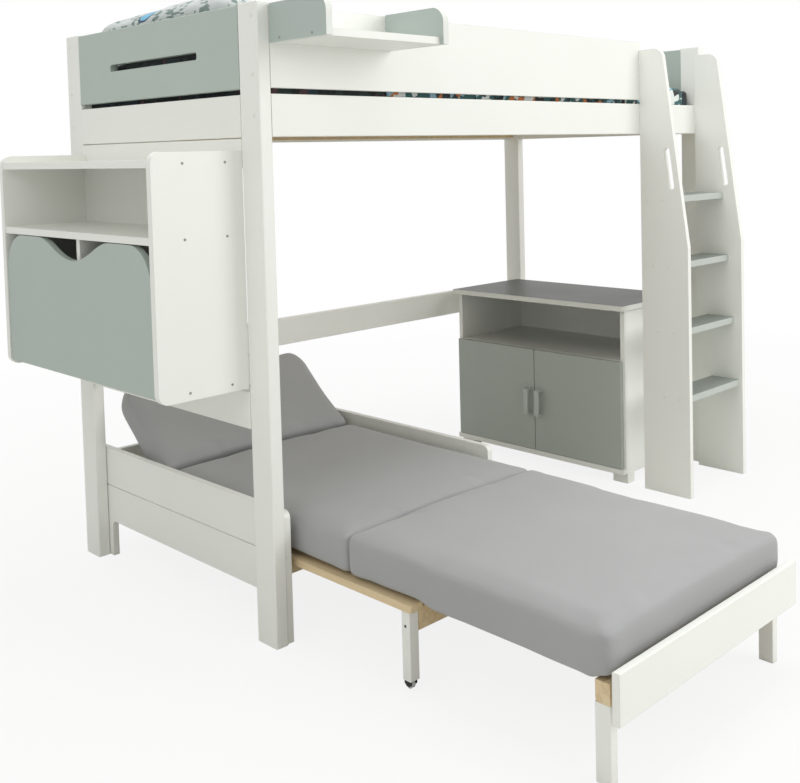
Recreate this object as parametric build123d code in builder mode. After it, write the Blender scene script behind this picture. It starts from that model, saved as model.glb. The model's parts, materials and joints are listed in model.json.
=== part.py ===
from build123d import *
from math import cos, radians, sin
import os

# Loft bed with a ladder, a bedside shelf, a hutch hung outside the head end, a cabinet at the
# foot end and a sofa bed that is pulled out from under the bed. Millimetres. X runs along the bed
# from head to foot, Y from the open front to the back, Z up from the floor. The origin is at the
# middle of the whole footprint, on the floor.

# Bed frame
bed_length = 1980
bed_width = 960
bed_height = 1545
post_width = 35
post_depth = 78
post_round = 4
plank_round = 2.5
rail_thickness = 27
rail_height = 102
rail_drop = 215
guard_thickness = 18
guard_height = 194
guard_gap = 14
guard_end_round = 26
panel_thickness = 22
panel_drop = 3
panel_gap = 13
slot_length = 440
slot_height = 19
slot_end_round = 6.5
slot_share = 0.47
mid_rail_height = 92
mid_rail_gap = 9
seat_gap = 0.3

# Slatted base and bedding
batten_size = 26
batten_drop = 94
bed_slat_width = 68
bed_slat_thickness = 18
bed_slat_count = 14
mattress_end_gap = 13
mattress_thickness = 105
mattress_side_gap = 12
mattress_round = 30
mattress_edge_round = 10
duvet_start = 430
duvet_end_gap = 60
duvet_thickness = 16
duvet_side_thickness = 10
duvet_crown = 18
duvet_side_height = 62
pillow_length = 664
pillow_width = 440
pillow_thickness = 120
pillow_corner = 60
pillow_draw = 14
pillow_slope = 125
pillow_flat_share = 0.15
pillow_tilt = 22
pillow_set_back = 221
pillow_lift = 111.4

# Ladder
stile_thickness = 18
stile_depth = 182
stile_top_depth = 89
stile_top_drop = 33
knee_height = 845
stile_corner_round = 34
ladder_foot_room = 420
ladder_gap = 335
tread_count = 4
tread_thickness = 23
tread_depth = 111
first_tread_top = 343
tread_rise = 224
first_tread_reach = 169
tread_step_back = 19
hand_slot_length = 142
hand_slot_width = 22
hand_slot_drop = 436
hand_slot_inset = 32

# Bedside shelf
bedside_length = 386
bedside_depth = 198
bedside_board = 18
bedside_drop = 96
bedside_bracket_height = 92
bedside_bracket_depth = 211
bedside_bracket_round = 38

# Hutch outside the head end
hutch_board = 18
hutch_depth = 243
hutch_drop = 30
hutch_height = 575
hutch_corner_round = 26
hutch_floor_lift = 9
hutch_shelf_drop = 193
hutch_top_drop = 18
hutch_back_thickness = 6
flap_thickness = 16
flap_inset = 3
flap_clearance = 2
flap_corner_round = 96
flap_dip_width = 388
flap_dip_depth = 53
dip_shoulder_share = 0.55
flap_foot_share = 0.45
flap_pin_radius = 3
flap_pin_clearance = 0.05
flap_pin_depth = 14
hanging_rail_height = 70
hanging_rail_gap = 2

# Cabinet under the foot end
cabinet_board = 18
cabinet_width = 800
cabinet_depth = 368
cabinet_height = 632
cabinet_foot_room = 426
cabinet_inset = 73
cabinet_top_overhang = 9
cabinet_foot_height = 35
cabinet_foot_width = 62
cabinet_foot_depth = 40
cabinet_foot_inset = 8
cabinet_shelf_top = 435
cabinet_back_thickness = 6
door_thickness = 16
door_gap = 3
door_lap = 9
door_stand_off = 0.5
handle_length = 108
handle_width = 20
handle_reach = 24
handle_strap = 6
handle_offset = 26
handle_height = 237
hinge_cup_radius = 17.5
hinge_cup_depth = 10
hinge_cup_inset = 22
hinge_cup_clearance = 0.25
hinge_arm_length = 52
hinge_arm_width = 14
hinge_arm_height = 12
hinge_edge_distance = 80

# Sofa bed, fixed part
sofa_side_gap = 1
sofa_inner_width = 710
sofa_board = 18
sofa_side_height = 324
sofa_side_set_back = 5
sofa_side_round = 18
sofa_leg_depth = 70
sofa_belly_height = 106
sofa_belly_round = 20
sofa_groove_bottom = 211
sofa_groove_width = 3
sofa_rear_gap = 1
sofa_back_bottom = 130
sofa_back_top = 300
deck_height = 198
slat_width = 44
slat_thickness = 18
slat_end_round = 9
slat_gap = 8.5
bearer_width = 20
bearer_height = 50
bearer_set_back = 84
fixed_slat_set_back = 36

# Sofa bed, middle frame on castors
middle_reach_share = 0.4
middle_slat_lead = 10
middle_slat_room = 160
cross_rail_thickness = 20
cross_rail_height = 50
middle_leg_width = 28
middle_leg_depth = 26
middle_leg_inset = 6
middle_leg_bottom = 21
castor_wheel_radius = 9.5
castor_wheel_width = 12
castor_wheel_edge = 1
castor_axle_radius = 2
castor_axle_clearance = 0.05
castor_cheek = 2.5
castor_side_clearance = 0.6
castor_hood_depth = 22
castor_hood_nose = 4
castor_hood_roof = 19.5

# Sofa bed, end frame
end_reach_short = 9
end_board_width = 688
end_board_thickness = 17
end_board_bottom = 136
end_board_height = 100
end_leg_width = 22
end_leg_depth = 36
end_leg_inset = 20
end_leg_set_back = 36
end_bearer_height = 43
end_bearer_depth = 34
end_bearer_round = 8
end_slat_length = 560
spacer_height = 60
spacer_inset = 60

# Cushions
cushion_width = 672
back_room = 371
front_gap = 12
back_length = 338
back_tilt = 40
seat_lead = 179
seat_thickness = 110.5
back_thickness = 104
cushion_crown = 9
cushion_draw = 6
cushion_edge = 15
cushion_seam_round = 14
cushion_end_round = 22

# Fasteners
cap_radius = 5
cap_height = 1.2
post_cap_inset = 23
post_cap_drop = 32
tread_cap_inset = 26
bracket_cap_inset = 38
hutch_cap_inset = 48

# Places worked out from the sizes
end_reach = bed_width - end_reach_short
head_x = (hutch_depth - bed_length) / 2
foot_x = head_x + bed_length
front_y = (end_reach - bed_width) / 2
rear_y = front_y + bed_width
rail_top = bed_height - rail_drop
rail_bottom = rail_top - rail_height
rail_left = head_x + post_width
rail_right = foot_x - post_width
rail_length = rail_right - rail_left
panel_top = bed_height - panel_drop
panel_bottom = rail_top + panel_gap
guard_bottom = rail_top + guard_gap
guard_top = guard_bottom + guard_height
end_front = front_y + post_depth
end_rear = rear_y - post_depth

os.makedirs("parts", exist_ok=True)


def save(sub_part, name):
    sub_part.part.label = name
    export_step(sub_part.part, "parts/" + name + ".step")


def bar(x_from, x_to, y_from, y_to, z_from, z_to, mode=Mode.ADD):
    # Adds a straight board, given by its faces, to the sub-part being built, or cuts its room.
    with Locations(((x_from + x_to) / 2, (y_from + y_to) / 2, (z_from + z_to) / 2)):
        Box(x_to - x_from, y_to - y_from, z_to - z_from, mode=mode)


def ease(sub_part, axis, radius=plank_round):
    # Rounds the long edges of a board.
    fillet(sub_part.edges().filter_by(axis), radius)


# Four posts with softened edges
post_places = {
    "post_front_left": (head_x, front_y),
    "post_front_right": (foot_x - post_width, front_y),
    "post_rear_left": (head_x, rear_y - post_depth),
    "post_rear_right": (foot_x - post_width, rear_y - post_depth),
}
for post_name, (post_x, post_y) in post_places.items():
    with BuildPart() as post:
        with BuildSketch():
            with Locations((post_x + post_width / 2, post_y + post_depth / 2)):
                RectangleRounded(post_width, post_depth, post_round)
        extrude(amount=bed_height)
        chamfer(post.faces().sort_by(Axis.Z)[-1].edges(), plank_round / 2)
    save(post, post_name)

# End panels, each with a long slot with round corners
panel_places = {"head_panel": head_x, "foot_panel": foot_x - panel_thickness}
slot_centre = (front_y + rear_y) / 2, panel_bottom + slot_share * (panel_top - panel_bottom)
for panel_name, panel_x in panel_places.items():
    with BuildPart() as panel:
        bar(panel_x, panel_x + panel_thickness, end_front, end_rear, panel_bottom, panel_top)
        ease(panel, Axis.Y)
        with BuildSketch(Plane.YZ.offset(panel_x)):
            with Locations(slot_centre):
                RectangleRounded(slot_length, slot_height, slot_end_round)
        extrude(amount=panel_thickness, mode=Mode.SUBTRACT)
    save(panel, panel_name)

# White rails under the end panels
with BuildPart() as end_rails:
    for rail_x in (head_x, foot_x - rail_thickness):
        bar(rail_x, rail_x + rail_thickness, end_front, end_rear, rail_bottom, rail_top)
    ease(end_rails, Axis.Y)
save(end_rails, "end_rails")

# Lower rails that brace the two ends, the one at the head right below the hutch
hutch_top = rail_bottom - hutch_drop
hutch_bottom = hutch_top - hutch_height
mid_rail_top = hutch_bottom - mid_rail_gap
mid_rail_bottom = mid_rail_top - mid_rail_height
with BuildPart() as end_mid_rails:
    for rail_x in (head_x, foot_x - rail_thickness):
        bar(rail_x, rail_x + rail_thickness, end_front, end_rear, mid_rail_bottom, mid_rail_top)
    ease(end_mid_rails, Axis.Y)
save(end_mid_rails, "end_mid_rails")

# Rails from which the hutch hangs. The upper one fills the room below the end rail.
hutch_shelf_top = hutch_top - hutch_shelf_drop
hutch_roof_top = hutch_top - hutch_top_drop
hutch_floor_bottom = hutch_bottom + hutch_floor_lift
hutch_floor_top = hutch_floor_bottom + hutch_board
with BuildPart() as hanging_rails:
    for rail_z in (hutch_floor_bottom, rail_bottom - hanging_rail_gap - hanging_rail_height):
        bar(
            head_x,
            head_x + rail_thickness,
            end_front,
            end_rear,
            rail_z,
            rail_z + hanging_rail_height,
        )
    ease(hanging_rails, Axis.Y)
save(hanging_rails, "hutch_hanging_rails")

# Side rails, and the brace low at the back
rail_rows = {
    "front_side_rail": (front_y, rail_bottom, rail_height),
    "rear_side_rail": (rear_y - rail_thickness, rail_bottom, rail_height),
    "rear_mid_rail": (rear_y - rail_thickness, mid_rail_bottom, mid_rail_height),
}
for rail_name, (rail_y, rail_z, height) in rail_rows.items():
    with BuildPart() as side_rail:
        bar(rail_left, rail_right, rail_y, rail_y + rail_thickness, rail_z, rail_z + height)
        ease(side_rail, Axis.X)
    save(side_rail, rail_name)

# Guard boards. The front one ends behind the ladder and leaves the way in open.
ladder_left = foot_x - ladder_foot_room
ladder_right = ladder_left + stile_thickness + ladder_gap
with BuildPart() as front_guard:
    bar(
        rail_left,
        ladder_left + stile_thickness,
        front_y,
        front_y + guard_thickness,
        guard_bottom,
        guard_top,
    )
    guard_tip = front_guard.edges().filter_by(Axis.Y).group_by(Axis.X)[-1].sort_by(Axis.Z)[-1]
    fillet(guard_tip, guard_end_round)
save(front_guard, "front_guard")

with BuildPart() as rear_guard:
    bar(rail_left, rail_right, rear_y - guard_thickness, rear_y, guard_bottom, guard_top)
    ease(rear_guard, Axis.X)
save(rear_guard, "rear_guard")

# Battens inside the side rails, and the slats that lie across them
batten_top = rail_top - batten_drop + batten_size
slat_bottom = batten_top + seat_gap
slat_front = front_y + rail_thickness + seat_gap
slat_rear = rear_y - rail_thickness - seat_gap
mattress_bottom = slat_bottom + bed_slat_thickness + seat_gap
bed_centre_x = (head_x + foot_x) / 2
bed_centre_y = (front_y + rear_y) / 2
mattress_length = bed_length - 2 * (rail_thickness + mattress_end_gap)
slat_run = mattress_length - bed_slat_width
with BuildPart() as slatted_base:
    for batten_y in (front_y + rail_thickness, rear_y - rail_thickness - batten_size):
        bar(
            rail_left,
            rail_right,
            batten_y,
            batten_y + batten_size,
            batten_top - batten_size,
            batten_top,
        )
    for index in range(bed_slat_count):
        slat_x = bed_centre_x + slat_run * (index / (bed_slat_count - 1) - 1 / 2)
        bar(
            slat_x - bed_slat_width / 2,
            slat_x + bed_slat_width / 2,
            slat_front,
            slat_rear,
            slat_bottom,
            slat_bottom + bed_slat_thickness,
        )
save(slatted_base, "slatted_base")

# Mattress
mattress_width = bed_width - 2 * rail_thickness - 2 * mattress_side_gap
mattress_top = mattress_bottom + mattress_thickness
with BuildPart() as mattress:
    with BuildSketch(Plane.XY.offset(mattress_bottom)):
        with Locations((bed_centre_x, bed_centre_y)):
            RectangleRounded(mattress_length, mattress_width, mattress_round)
    extrude(amount=mattress_thickness)
    fillet(mattress.faces().sort_by(Axis.Z)[-1].edges(), mattress_edge_round)
    fillet(mattress.faces().sort_by(Axis.Z)[0].edges(), mattress_edge_round)
save(mattress, "mattress")


# Duvet over the mattress, with its sides tucked down inside the guards
duvet_end = bed_centre_x + mattress_length / 2 - duvet_end_gap
duvet_length = duvet_end - head_x - duvet_start
duvet_inner_half = mattress_width / 2 + seat_gap
duvet_outer_half = duvet_inner_half + duvet_side_thickness
duvet_under = mattress_top + seat_gap
duvet_shoulder = duvet_under + duvet_thickness
duvet_hem = mattress_top - duvet_side_height
duvet_plane = Plane(
    origin=(head_x + duvet_start, bed_centre_y, 0), x_dir=(0, 1, 0), z_dir=(1, 0, 0)
)
with BuildPart() as duvet:
    with BuildSketch(duvet_plane):
        with BuildLine():
            Line((-duvet_inner_half, duvet_hem), (-duvet_inner_half, duvet_under))
            Line((-duvet_inner_half, duvet_under), (duvet_inner_half, duvet_under))
            Line((duvet_inner_half, duvet_under), (duvet_inner_half, duvet_hem))
            Line((duvet_inner_half, duvet_hem), (duvet_outer_half, duvet_hem))
            Line((duvet_outer_half, duvet_hem), (duvet_outer_half, mattress_top))
            ThreePointArc(
                (duvet_outer_half, mattress_top),
                (duvet_outer_half - duvet_thickness * (1 - sin(radians(45))), duvet_shoulder
                 - duvet_thickness * (1 - sin(radians(45)))),
                (duvet_outer_half - duvet_thickness, duvet_shoulder),
            )
            ThreePointArc(
                (duvet_outer_half - duvet_thickness, duvet_shoulder),
                (0, duvet_shoulder + duvet_crown),
                (duvet_thickness - duvet_outer_half, duvet_shoulder),
            )
            ThreePointArc(
                (duvet_thickness - duvet_outer_half, duvet_shoulder),
                (duvet_thickness * (1 - sin(radians(45))) - duvet_outer_half, duvet_shoulder
                 - duvet_thickness * (1 - sin(radians(45)))),
                (-duvet_outer_half, mattress_top),
            )
            Line((-duvet_outer_half, mattress_top), (-duvet_outer_half, duvet_hem))
            Line((-duvet_outer_half, duvet_hem), (-duvet_inner_half, duvet_hem))
        make_face()
    extrude(amount=duvet_length)
save(duvet, "duvet")

# Pillow that leans on the head panel, fullest in the middle. Its levels run from one face to the
# other, and each one's inset follows a round.
pillow_level_count = 10
pillow_rise = sin(radians(pillow_tilt))
pillow_run = cos(radians(pillow_tilt))
pillow_plane = Plane(
    origin=(head_x + pillow_set_back, bed_centre_y, mattress_top + pillow_lift),
    x_dir=(pillow_run, 0, -pillow_rise),
    z_dir=(pillow_rise, 0, pillow_run),
)


def pillow_outline(plane, half_length, half_width, corner, draw):
    # Outline of one level of the pillow: round corners, and sides that draw in between them.
    bend = corner * (1 - sin(radians(45)))
    straight_x = half_length - corner
    straight_y = half_width - corner
    with BuildSketch(plane) as outline:
        with BuildLine():
            ThreePointArc(
                (-straight_x, -half_width), (0, draw - half_width), (straight_x, -half_width)
            )
            ThreePointArc(
                (straight_x, -half_width),
                (half_length - bend, bend - half_width),
                (half_length, -straight_y),
            )
            ThreePointArc(
                (half_length, -straight_y), (half_length - draw, 0), (half_length, straight_y)
            )
            ThreePointArc(
                (half_length, straight_y),
                (half_length - bend, half_width - bend),
                (straight_x, half_width),
            )
            ThreePointArc(
                (straight_x, half_width), (0, half_width - draw), (-straight_x, half_width)
            )
            ThreePointArc(
                (-straight_x, half_width),
                (bend - half_length, half_width - bend),
                (-half_length, straight_y),
            )
            ThreePointArc(
                (-half_length, straight_y), (draw - half_length, 0), (-half_length, -straight_y)
            )
            ThreePointArc(
                (-half_length, -straight_y),
                (bend - half_length, bend - half_width),
                (-straight_x, -half_width),
            )
        make_face()
    return outline.sketch


with BuildPart() as pillow:
    pillow_outlines = []
    for level in range(pillow_level_count + 1):
        turn = radians(180) * (level / pillow_level_count - 1 / 2)
        swell = pillow_flat_share + (1 - pillow_flat_share) * cos(turn)
        pillow_outlines.append(
            pillow_outline(
                pillow_plane.offset(pillow_thickness / 2 * sin(turn)),
                pillow_width / 2 - pillow_slope * (1 - swell),
                pillow_length / 2 - pillow_slope * (1 - swell),
                pillow_corner * swell,
                pillow_draw * swell,
            )
        )
    loft(pillow_outlines, ruled=True)
save(pillow, "pillow")

# Ladder stiles: deep at the foot, drawn back above the knee, with a hand slot near the top
stile_top_height = bed_height - stile_top_drop
hand_slot_height = bed_height - hand_slot_drop
slant = (stile_top_depth - stile_depth) / (stile_top_height - knee_height)
slot_reach = stile_depth + slant * (hand_slot_height - knee_height) - hand_slot_inset
slot_angle = 90 - Vector(1, slant).get_angle(Vector(1, 0))
for stile_name, stile_x in (
    ("ladder_stile_left", ladder_left),
    ("ladder_stile_right", ladder_right),
):
    with BuildPart() as stile:
        with BuildSketch(Plane.YZ.offset(stile_x)):
            with BuildLine():
                Polyline(
                    (front_y, 0),
                    (front_y - stile_depth, 0),
                    (front_y - stile_depth, knee_height),
                    (front_y - stile_top_depth, stile_top_height),
                    (front_y, stile_top_height),
                    close=True,
                )
            make_face()
            top_corner = vertices().group_by(Axis.Y)[-1].sort_by(Axis.X)[0]
            fillet(top_corner, stile_corner_round)
            with Locations((front_y - slot_reach, hand_slot_height)):
                SlotOverall(
                    hand_slot_length, hand_slot_width, rotation=slot_angle, mode=Mode.SUBTRACT
                )
        extrude(amount=stile_thickness)
    save(stile, stile_name)

# Treads between the stiles, each set a little further out than the one above
tread_left = ladder_left + stile_thickness
with BuildPart() as ladder_treads:
    for index in range(tread_count):
        tread_top = first_tread_top + index * tread_rise
        tread_front = front_y - first_tread_reach + index * tread_step_back
        bar(
            tread_left,
            ladder_right,
            tread_front,
            tread_front + tread_depth,
            tread_top - tread_thickness,
            tread_top,
        )
    ease(ladder_treads, Axis.X)
save(ladder_treads, "ladder_treads")

# Bedside shelf: a board between two brackets, screwed to the outside of the front guard
bedside_right = rail_left + bedside_length
bedside_bottom = bed_height - bedside_drop
bracket_rows = (rail_left, bedside_right - bedside_board)
with BuildPart() as shelf_brackets:
    for bracket_x in bracket_rows:
        bar(
            bracket_x,
            bracket_x + bedside_board,
            front_y - bedside_bracket_depth,
            front_y,
            bedside_bottom,
            bedside_bottom + bedside_bracket_height,
        )
    bracket_fronts = shelf_brackets.edges().filter_by(Axis.X).group_by(Axis.Y)[0]
    fillet(bracket_fronts.group_by(Axis.Z)[-1], bedside_bracket_round)
save(shelf_brackets, "shelf_brackets")

with BuildPart() as bedside_board_part:
    bar(
        rail_left + bedside_board,
        bedside_right - bedside_board,
        front_y - bedside_depth,
        front_y,
        bedside_bottom,
        bedside_bottom + bedside_board,
    )
save(bedside_board_part, "bedside_shelf_board")

# Hutch sides with round outer corners, in line with the posts' inner edges
hutch_front = head_x - hutch_depth
hutch_near = end_front
hutch_far = end_rear
with BuildPart() as hutch_sides:
    for side_y in (hutch_near, hutch_far - hutch_board):
        bar(hutch_front, head_x, side_y, side_y + hutch_board, hutch_bottom, hutch_top)
    fillet(hutch_sides.edges().filter_by(Axis.Y).group_by(Axis.X)[0], hutch_corner_round)
save(hutch_sides, "hutch_sides")

# Hutch boards between the sides, in front of the back panel
inner_near = hutch_near + hutch_board
inner_far = hutch_far - hutch_board
hutch_inner_back = head_x - hutch_back_thickness
flap_front = hutch_front + flap_inset
flap_back = flap_front + flap_thickness
board_front = flap_back + flap_clearance
hutch_rows = {
    "hutch_top": (hutch_front + flap_inset, hutch_roof_top - hutch_board),
    "hutch_shelf": (hutch_front + flap_inset, hutch_shelf_top - hutch_board),
    "hutch_bottom": (board_front, hutch_floor_bottom),
}
for row_name, (row_front, row_bottom) in hutch_rows.items():
    with BuildPart() as hutch_row:
        bar(
            row_front,
            hutch_inner_back,
            inner_near,
            inner_far,
            row_bottom,
            row_bottom + hutch_board,
        )
    save(hutch_row, row_name)

with BuildPart() as hutch_back:
    bar(hutch_inner_back, head_x, inner_near, inner_far, hutch_floor_bottom, hutch_roof_top)
save(hutch_back, "hutch_back")

with BuildPart() as hutch_divider:
    bar(
        board_front,
        hutch_inner_back,
        bed_centre_y - hutch_board / 2,
        bed_centre_y + hutch_board / 2,
        hutch_floor_top,
        hutch_shelf_top - hutch_board,
    )
save(hutch_divider, "hutch_divider")

# Drop-down flap with a wide dip in its top edge. It turns on two pins near its lower edge and
# lies level with the hutch floor when it is down.
flap_bottom = hutch_floor_top - flap_thickness
flap_top = hutch_shelf_top - hutch_board - flap_clearance
flap_near = inner_near + flap_clearance
flap_far = inner_far - flap_clearance
flap_pin_x = flap_front + flap_thickness / 2
flap_pin_z = flap_bottom + flap_thickness / 2
flap_plane = Plane(
    origin=(flap_front, bed_centre_y, flap_bottom), x_dir=(0, 1, 0), z_dir=(1, 0, 0)
)
flap_half = (flap_far - flap_near) / 2
flap_height = flap_top - flap_bottom
dip_half = flap_dip_width / 2
dip_shoulder = flap_dip_depth * dip_shoulder_share
with BuildPart() as hutch_flap:
    with BuildSketch(flap_plane):
        with BuildLine():
            Line((-flap_half, 0), (flap_half, 0))
            Line((flap_half, 0), (flap_half, flap_height - flap_corner_round))
            RadiusArc(
                (flap_half, flap_height - flap_corner_round),
                (flap_half - flap_corner_round, flap_height),
                -flap_corner_round,
            )
            Line((flap_half - flap_corner_round, flap_height), (dip_half, flap_height))
            Spline(
                (dip_half, flap_height),
                (dip_half / 2, flap_height - dip_shoulder),
                (0, flap_height - flap_dip_depth),
                (-dip_half / 2, flap_height - dip_shoulder),
                (-dip_half, flap_height),
                tangents=((-1, 0), (-1, 0)),
            )
            Line((-dip_half, flap_height), (flap_corner_round - flap_half, flap_height))
            RadiusArc(
                (flap_corner_round - flap_half, flap_height),
                (-flap_half, flap_height - flap_corner_round),
                -flap_corner_round,
            )
            Line((-flap_half, flap_height - flap_corner_round), (-flap_half, 0))
        make_face()
    extrude(amount=flap_thickness)
    flap_foot = hutch_flap.edges().filter_by(Axis.Y).group_by(Axis.Z)[0]
    fillet(flap_foot, flap_thickness * flap_foot_share)
    with BuildSketch(Plane.XZ.offset(-flap_far)):
        with Locations((flap_pin_x, flap_pin_z)):
            Circle(flap_pin_radius + flap_pin_clearance)
    extrude(amount=flap_pin_depth, mode=Mode.SUBTRACT)
    with BuildSketch(Plane.XZ.offset(-flap_near)):
        with Locations((flap_pin_x, flap_pin_z)):
            Circle(flap_pin_radius + flap_pin_clearance)
    extrude(amount=-flap_pin_depth, mode=Mode.SUBTRACT)
save(hutch_flap, "hutch_flap")

with BuildPart() as flap_pins:
    for pin_plane in (Plane.XZ.offset(-inner_near), Plane.XZ.offset(-inner_far + flap_pin_depth)):
        with BuildSketch(pin_plane):
            with Locations((flap_pin_x, flap_pin_z)):
                Circle(flap_pin_radius)
        extrude(amount=-flap_pin_depth)
save(flap_pins, "flap_pivot_pins")

# Cabinet carcass. Its front faces the sofa, towards the head end.
cabinet_front = foot_x - cabinet_foot_room
cabinet_rear = cabinet_front + cabinet_depth
cabinet_near = front_y + cabinet_inset
cabinet_far = cabinet_near + cabinet_width
cabinet_roof = cabinet_height - cabinet_board
cabinet_floor_top = cabinet_foot_height + cabinet_board
with BuildPart() as cabinet_top:
    bar(
        cabinet_front - door_thickness - cabinet_top_overhang,
        cabinet_rear,
        cabinet_near - cabinet_top_overhang,
        cabinet_far + cabinet_top_overhang,
        cabinet_roof,
        cabinet_height,
    )
    ease(cabinet_top, Axis.Z)
save(cabinet_top, "cabinet_top")

with BuildPart() as cabinet_sides:
    for side_y in (cabinet_near, cabinet_far - cabinet_board):
        bar(
            cabinet_front,
            cabinet_rear,
            side_y,
            side_y + cabinet_board,
            cabinet_floor_top,
            cabinet_roof,
        )
save(cabinet_sides, "cabinet_sides")

with BuildPart() as cabinet_bottom:
    bar(
        cabinet_front - door_thickness,
        cabinet_rear,
        cabinet_near,
        cabinet_far,
        cabinet_foot_height,
        cabinet_floor_top,
    )
save(cabinet_bottom, "cabinet_bottom")

cabinet_inner_near = cabinet_near + cabinet_board
cabinet_inner_far = cabinet_far - cabinet_board
cabinet_inner_back = cabinet_rear - cabinet_back_thickness
with BuildPart() as cabinet_shelf:
    bar(
        cabinet_front,
        cabinet_inner_back,
        cabinet_inner_near,
        cabinet_inner_far,
        cabinet_shelf_top - cabinet_board,
        cabinet_shelf_top,
    )
save(cabinet_shelf, "cabinet_shelf")

with BuildPart() as cabinet_back:
    bar(
        cabinet_inner_back,
        cabinet_rear,
        cabinet_inner_near,
        cabinet_inner_far,
        cabinet_floor_top,
        cabinet_roof,
    )
save(cabinet_back, "cabinet_back")

with BuildPart() as cabinet_feet:
    for foot_front in (
        cabinet_front + cabinet_foot_inset,
        cabinet_rear - cabinet_foot_inset - cabinet_foot_depth,
    ):
        for foot_near in (cabinet_near, cabinet_far - cabinet_foot_width):
            bar(
                foot_front,
                foot_front + cabinet_foot_depth,
                foot_near,
                foot_near + cabinet_foot_width,
                0,
                cabinet_foot_height,
            )
save(cabinet_feet, "cabinet_feet")

# Cabinet doors, which lap half of each side's front edge, with cup hinges at the outer edges
door_bottom = cabinet_floor_top + door_gap / 2
door_top = cabinet_shelf_top - door_gap / 2
door_face = cabinet_front - door_stand_off
door_split = (cabinet_near + cabinet_far) / 2
door_near_edge = cabinet_near + door_lap
door_far_edge = cabinet_far - door_lap
cup_heights = (door_bottom + hinge_edge_distance, door_top - hinge_edge_distance)
handle_half = handle_length / 2
handle_front = door_face - door_thickness
door_plane = Plane(origin=(door_face, 0, 0), x_dir=(0, 1, 0), z_dir=(1, 0, 0))
door_rows = {
    "near": (door_near_edge, door_split - door_gap / 2, 1),
    "far": (door_split + door_gap / 2, door_far_edge, -1),
}
for door_name, (door_from, door_to, inward) in door_rows.items():
    hinge_y = door_near_edge if inward > 0 else door_far_edge
    handle_y = door_split - inward * handle_offset
    cup_places = [(hinge_y + inward * hinge_cup_inset, height) for height in cup_heights]
    with BuildPart() as door:
        bar(
            door_face - door_thickness,
            door_face,
            door_from,
            door_to,
            door_bottom,
            door_top,
        )
        with BuildSketch(door_plane):
            with Locations(*cup_places):
                Circle(hinge_cup_radius + hinge_cup_clearance)
        extrude(amount=-hinge_cup_depth, mode=Mode.SUBTRACT)
    save(door, "cabinet_door_" + door_name)

    with BuildPart() as door_hardware:
        with BuildSketch(Plane.XZ.offset(-handle_y - handle_width / 2)):
            with BuildLine():
                Polyline(
                    (handle_front, handle_height - handle_half),
                    (handle_front - handle_reach, handle_height - handle_half + handle_strap),
                    (handle_front - handle_reach, handle_height + handle_half - handle_strap),
                    (handle_front, handle_height + handle_half),
                    (handle_front, handle_height + handle_half - 2 * handle_strap),
                    (
                        handle_front - handle_reach + handle_strap,
                        handle_height + handle_half - 2 * handle_strap,
                    ),
                    (
                        handle_front - handle_reach + handle_strap,
                        handle_height - handle_half + 2 * handle_strap,
                    ),
                    (handle_front, handle_height - handle_half + 2 * handle_strap),
                    close=True,
                )
            make_face()
        extrude(amount=handle_width)
        with BuildSketch(door_plane):
            with Locations(*cup_places):
                Circle(hinge_cup_radius)
        extrude(amount=seat_gap - hinge_cup_depth)
    save(door_hardware, "door_" + door_name + "_hardware")

# Fixed hinge arms on the cabinet's sides, behind the doors
with BuildPart() as hinge_arms:
    for arm_y in (cabinet_inner_near, cabinet_inner_far - hinge_arm_height):
        for arm_z in cup_heights:
            bar(
                cabinet_front,
                cabinet_front + hinge_arm_length,
                arm_y,
                arm_y + hinge_arm_height,
                arm_z - hinge_arm_width / 2,
                arm_z + hinge_arm_width / 2,
            )
save(hinge_arms, "hinge_arms")

# Sofa sides: boards that stand on the floor, the left one right behind the posts. A groove runs
# along their outer faces.
inner_half = sofa_inner_width / 2
sofa_x = rail_left + sofa_side_gap + sofa_board + inner_half
sofa_front = front_y + sofa_side_set_back
sofa_rear = rear_y - rail_thickness - sofa_rear_gap
sofa_sides_x = (sofa_x - inner_half - sofa_board, sofa_x + inner_half)
with BuildPart() as sofa_sides:
    for board_x in sofa_sides_x:
        with BuildSketch(Plane.YZ.offset(board_x)) as side_outline:
            with Locations(((sofa_front + sofa_rear) / 2, sofa_side_height / 2)):
                Rectangle(sofa_rear - sofa_front, sofa_side_height)
            fillet(side_outline.vertices().group_by(Axis.Y)[-1], sofa_side_round)
            with BuildSketch(mode=Mode.PRIVATE) as belly:
                belly_length = sofa_rear - sofa_front - 2 * sofa_leg_depth
                with Locations(((sofa_front + sofa_rear) / 2, sofa_belly_height / 2)):
                    Rectangle(belly_length, sofa_belly_height)
                fillet(belly.vertices().group_by(Axis.Y)[-1], sofa_belly_round)
            add(belly.sketch, mode=Mode.SUBTRACT)
        extrude(amount=sofa_board)
    for groove_x in (sofa_sides_x[0], sofa_sides_x[1] + sofa_board - sofa_groove_width):
        bar(
            groove_x,
            groove_x + sofa_groove_width,
            sofa_front,
            sofa_rear,
            sofa_groove_bottom,
            sofa_groove_bottom + sofa_groove_width,
            Mode.SUBTRACT,
        )
save(sofa_sides, "sofa_sides")

sofa_back_front = sofa_rear - sofa_board
with BuildPart() as sofa_back_board:
    bar(
        sofa_x - inner_half,
        sofa_x + inner_half,
        sofa_back_front,
        sofa_rear,
        sofa_back_bottom,
        sofa_back_top,
    )
    fillet(
        sofa_back_board.edges().filter_by(Axis.Y).group_by(Axis.Z)[-1],
        sofa_side_round / 2,
    )
save(sofa_back_board, "sofa_back_board")

# The deck's slats lie side by side in lanes, like the fingers of three combs: one comb stays,
# one slides out with the middle frame and one with the end frame.
lane_count = 13
middle_lanes = (0, 4, 8, 12)
end_lanes = (1, 5, 7, 11)
fixed_lanes = (2, 3, 6, 9, 10)
deck_bottom = deck_height - slat_thickness


def lane_x(lane):
    return sofa_x + (lane - (lane_count - 1) / 2) * (slat_width + slat_gap)


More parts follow.
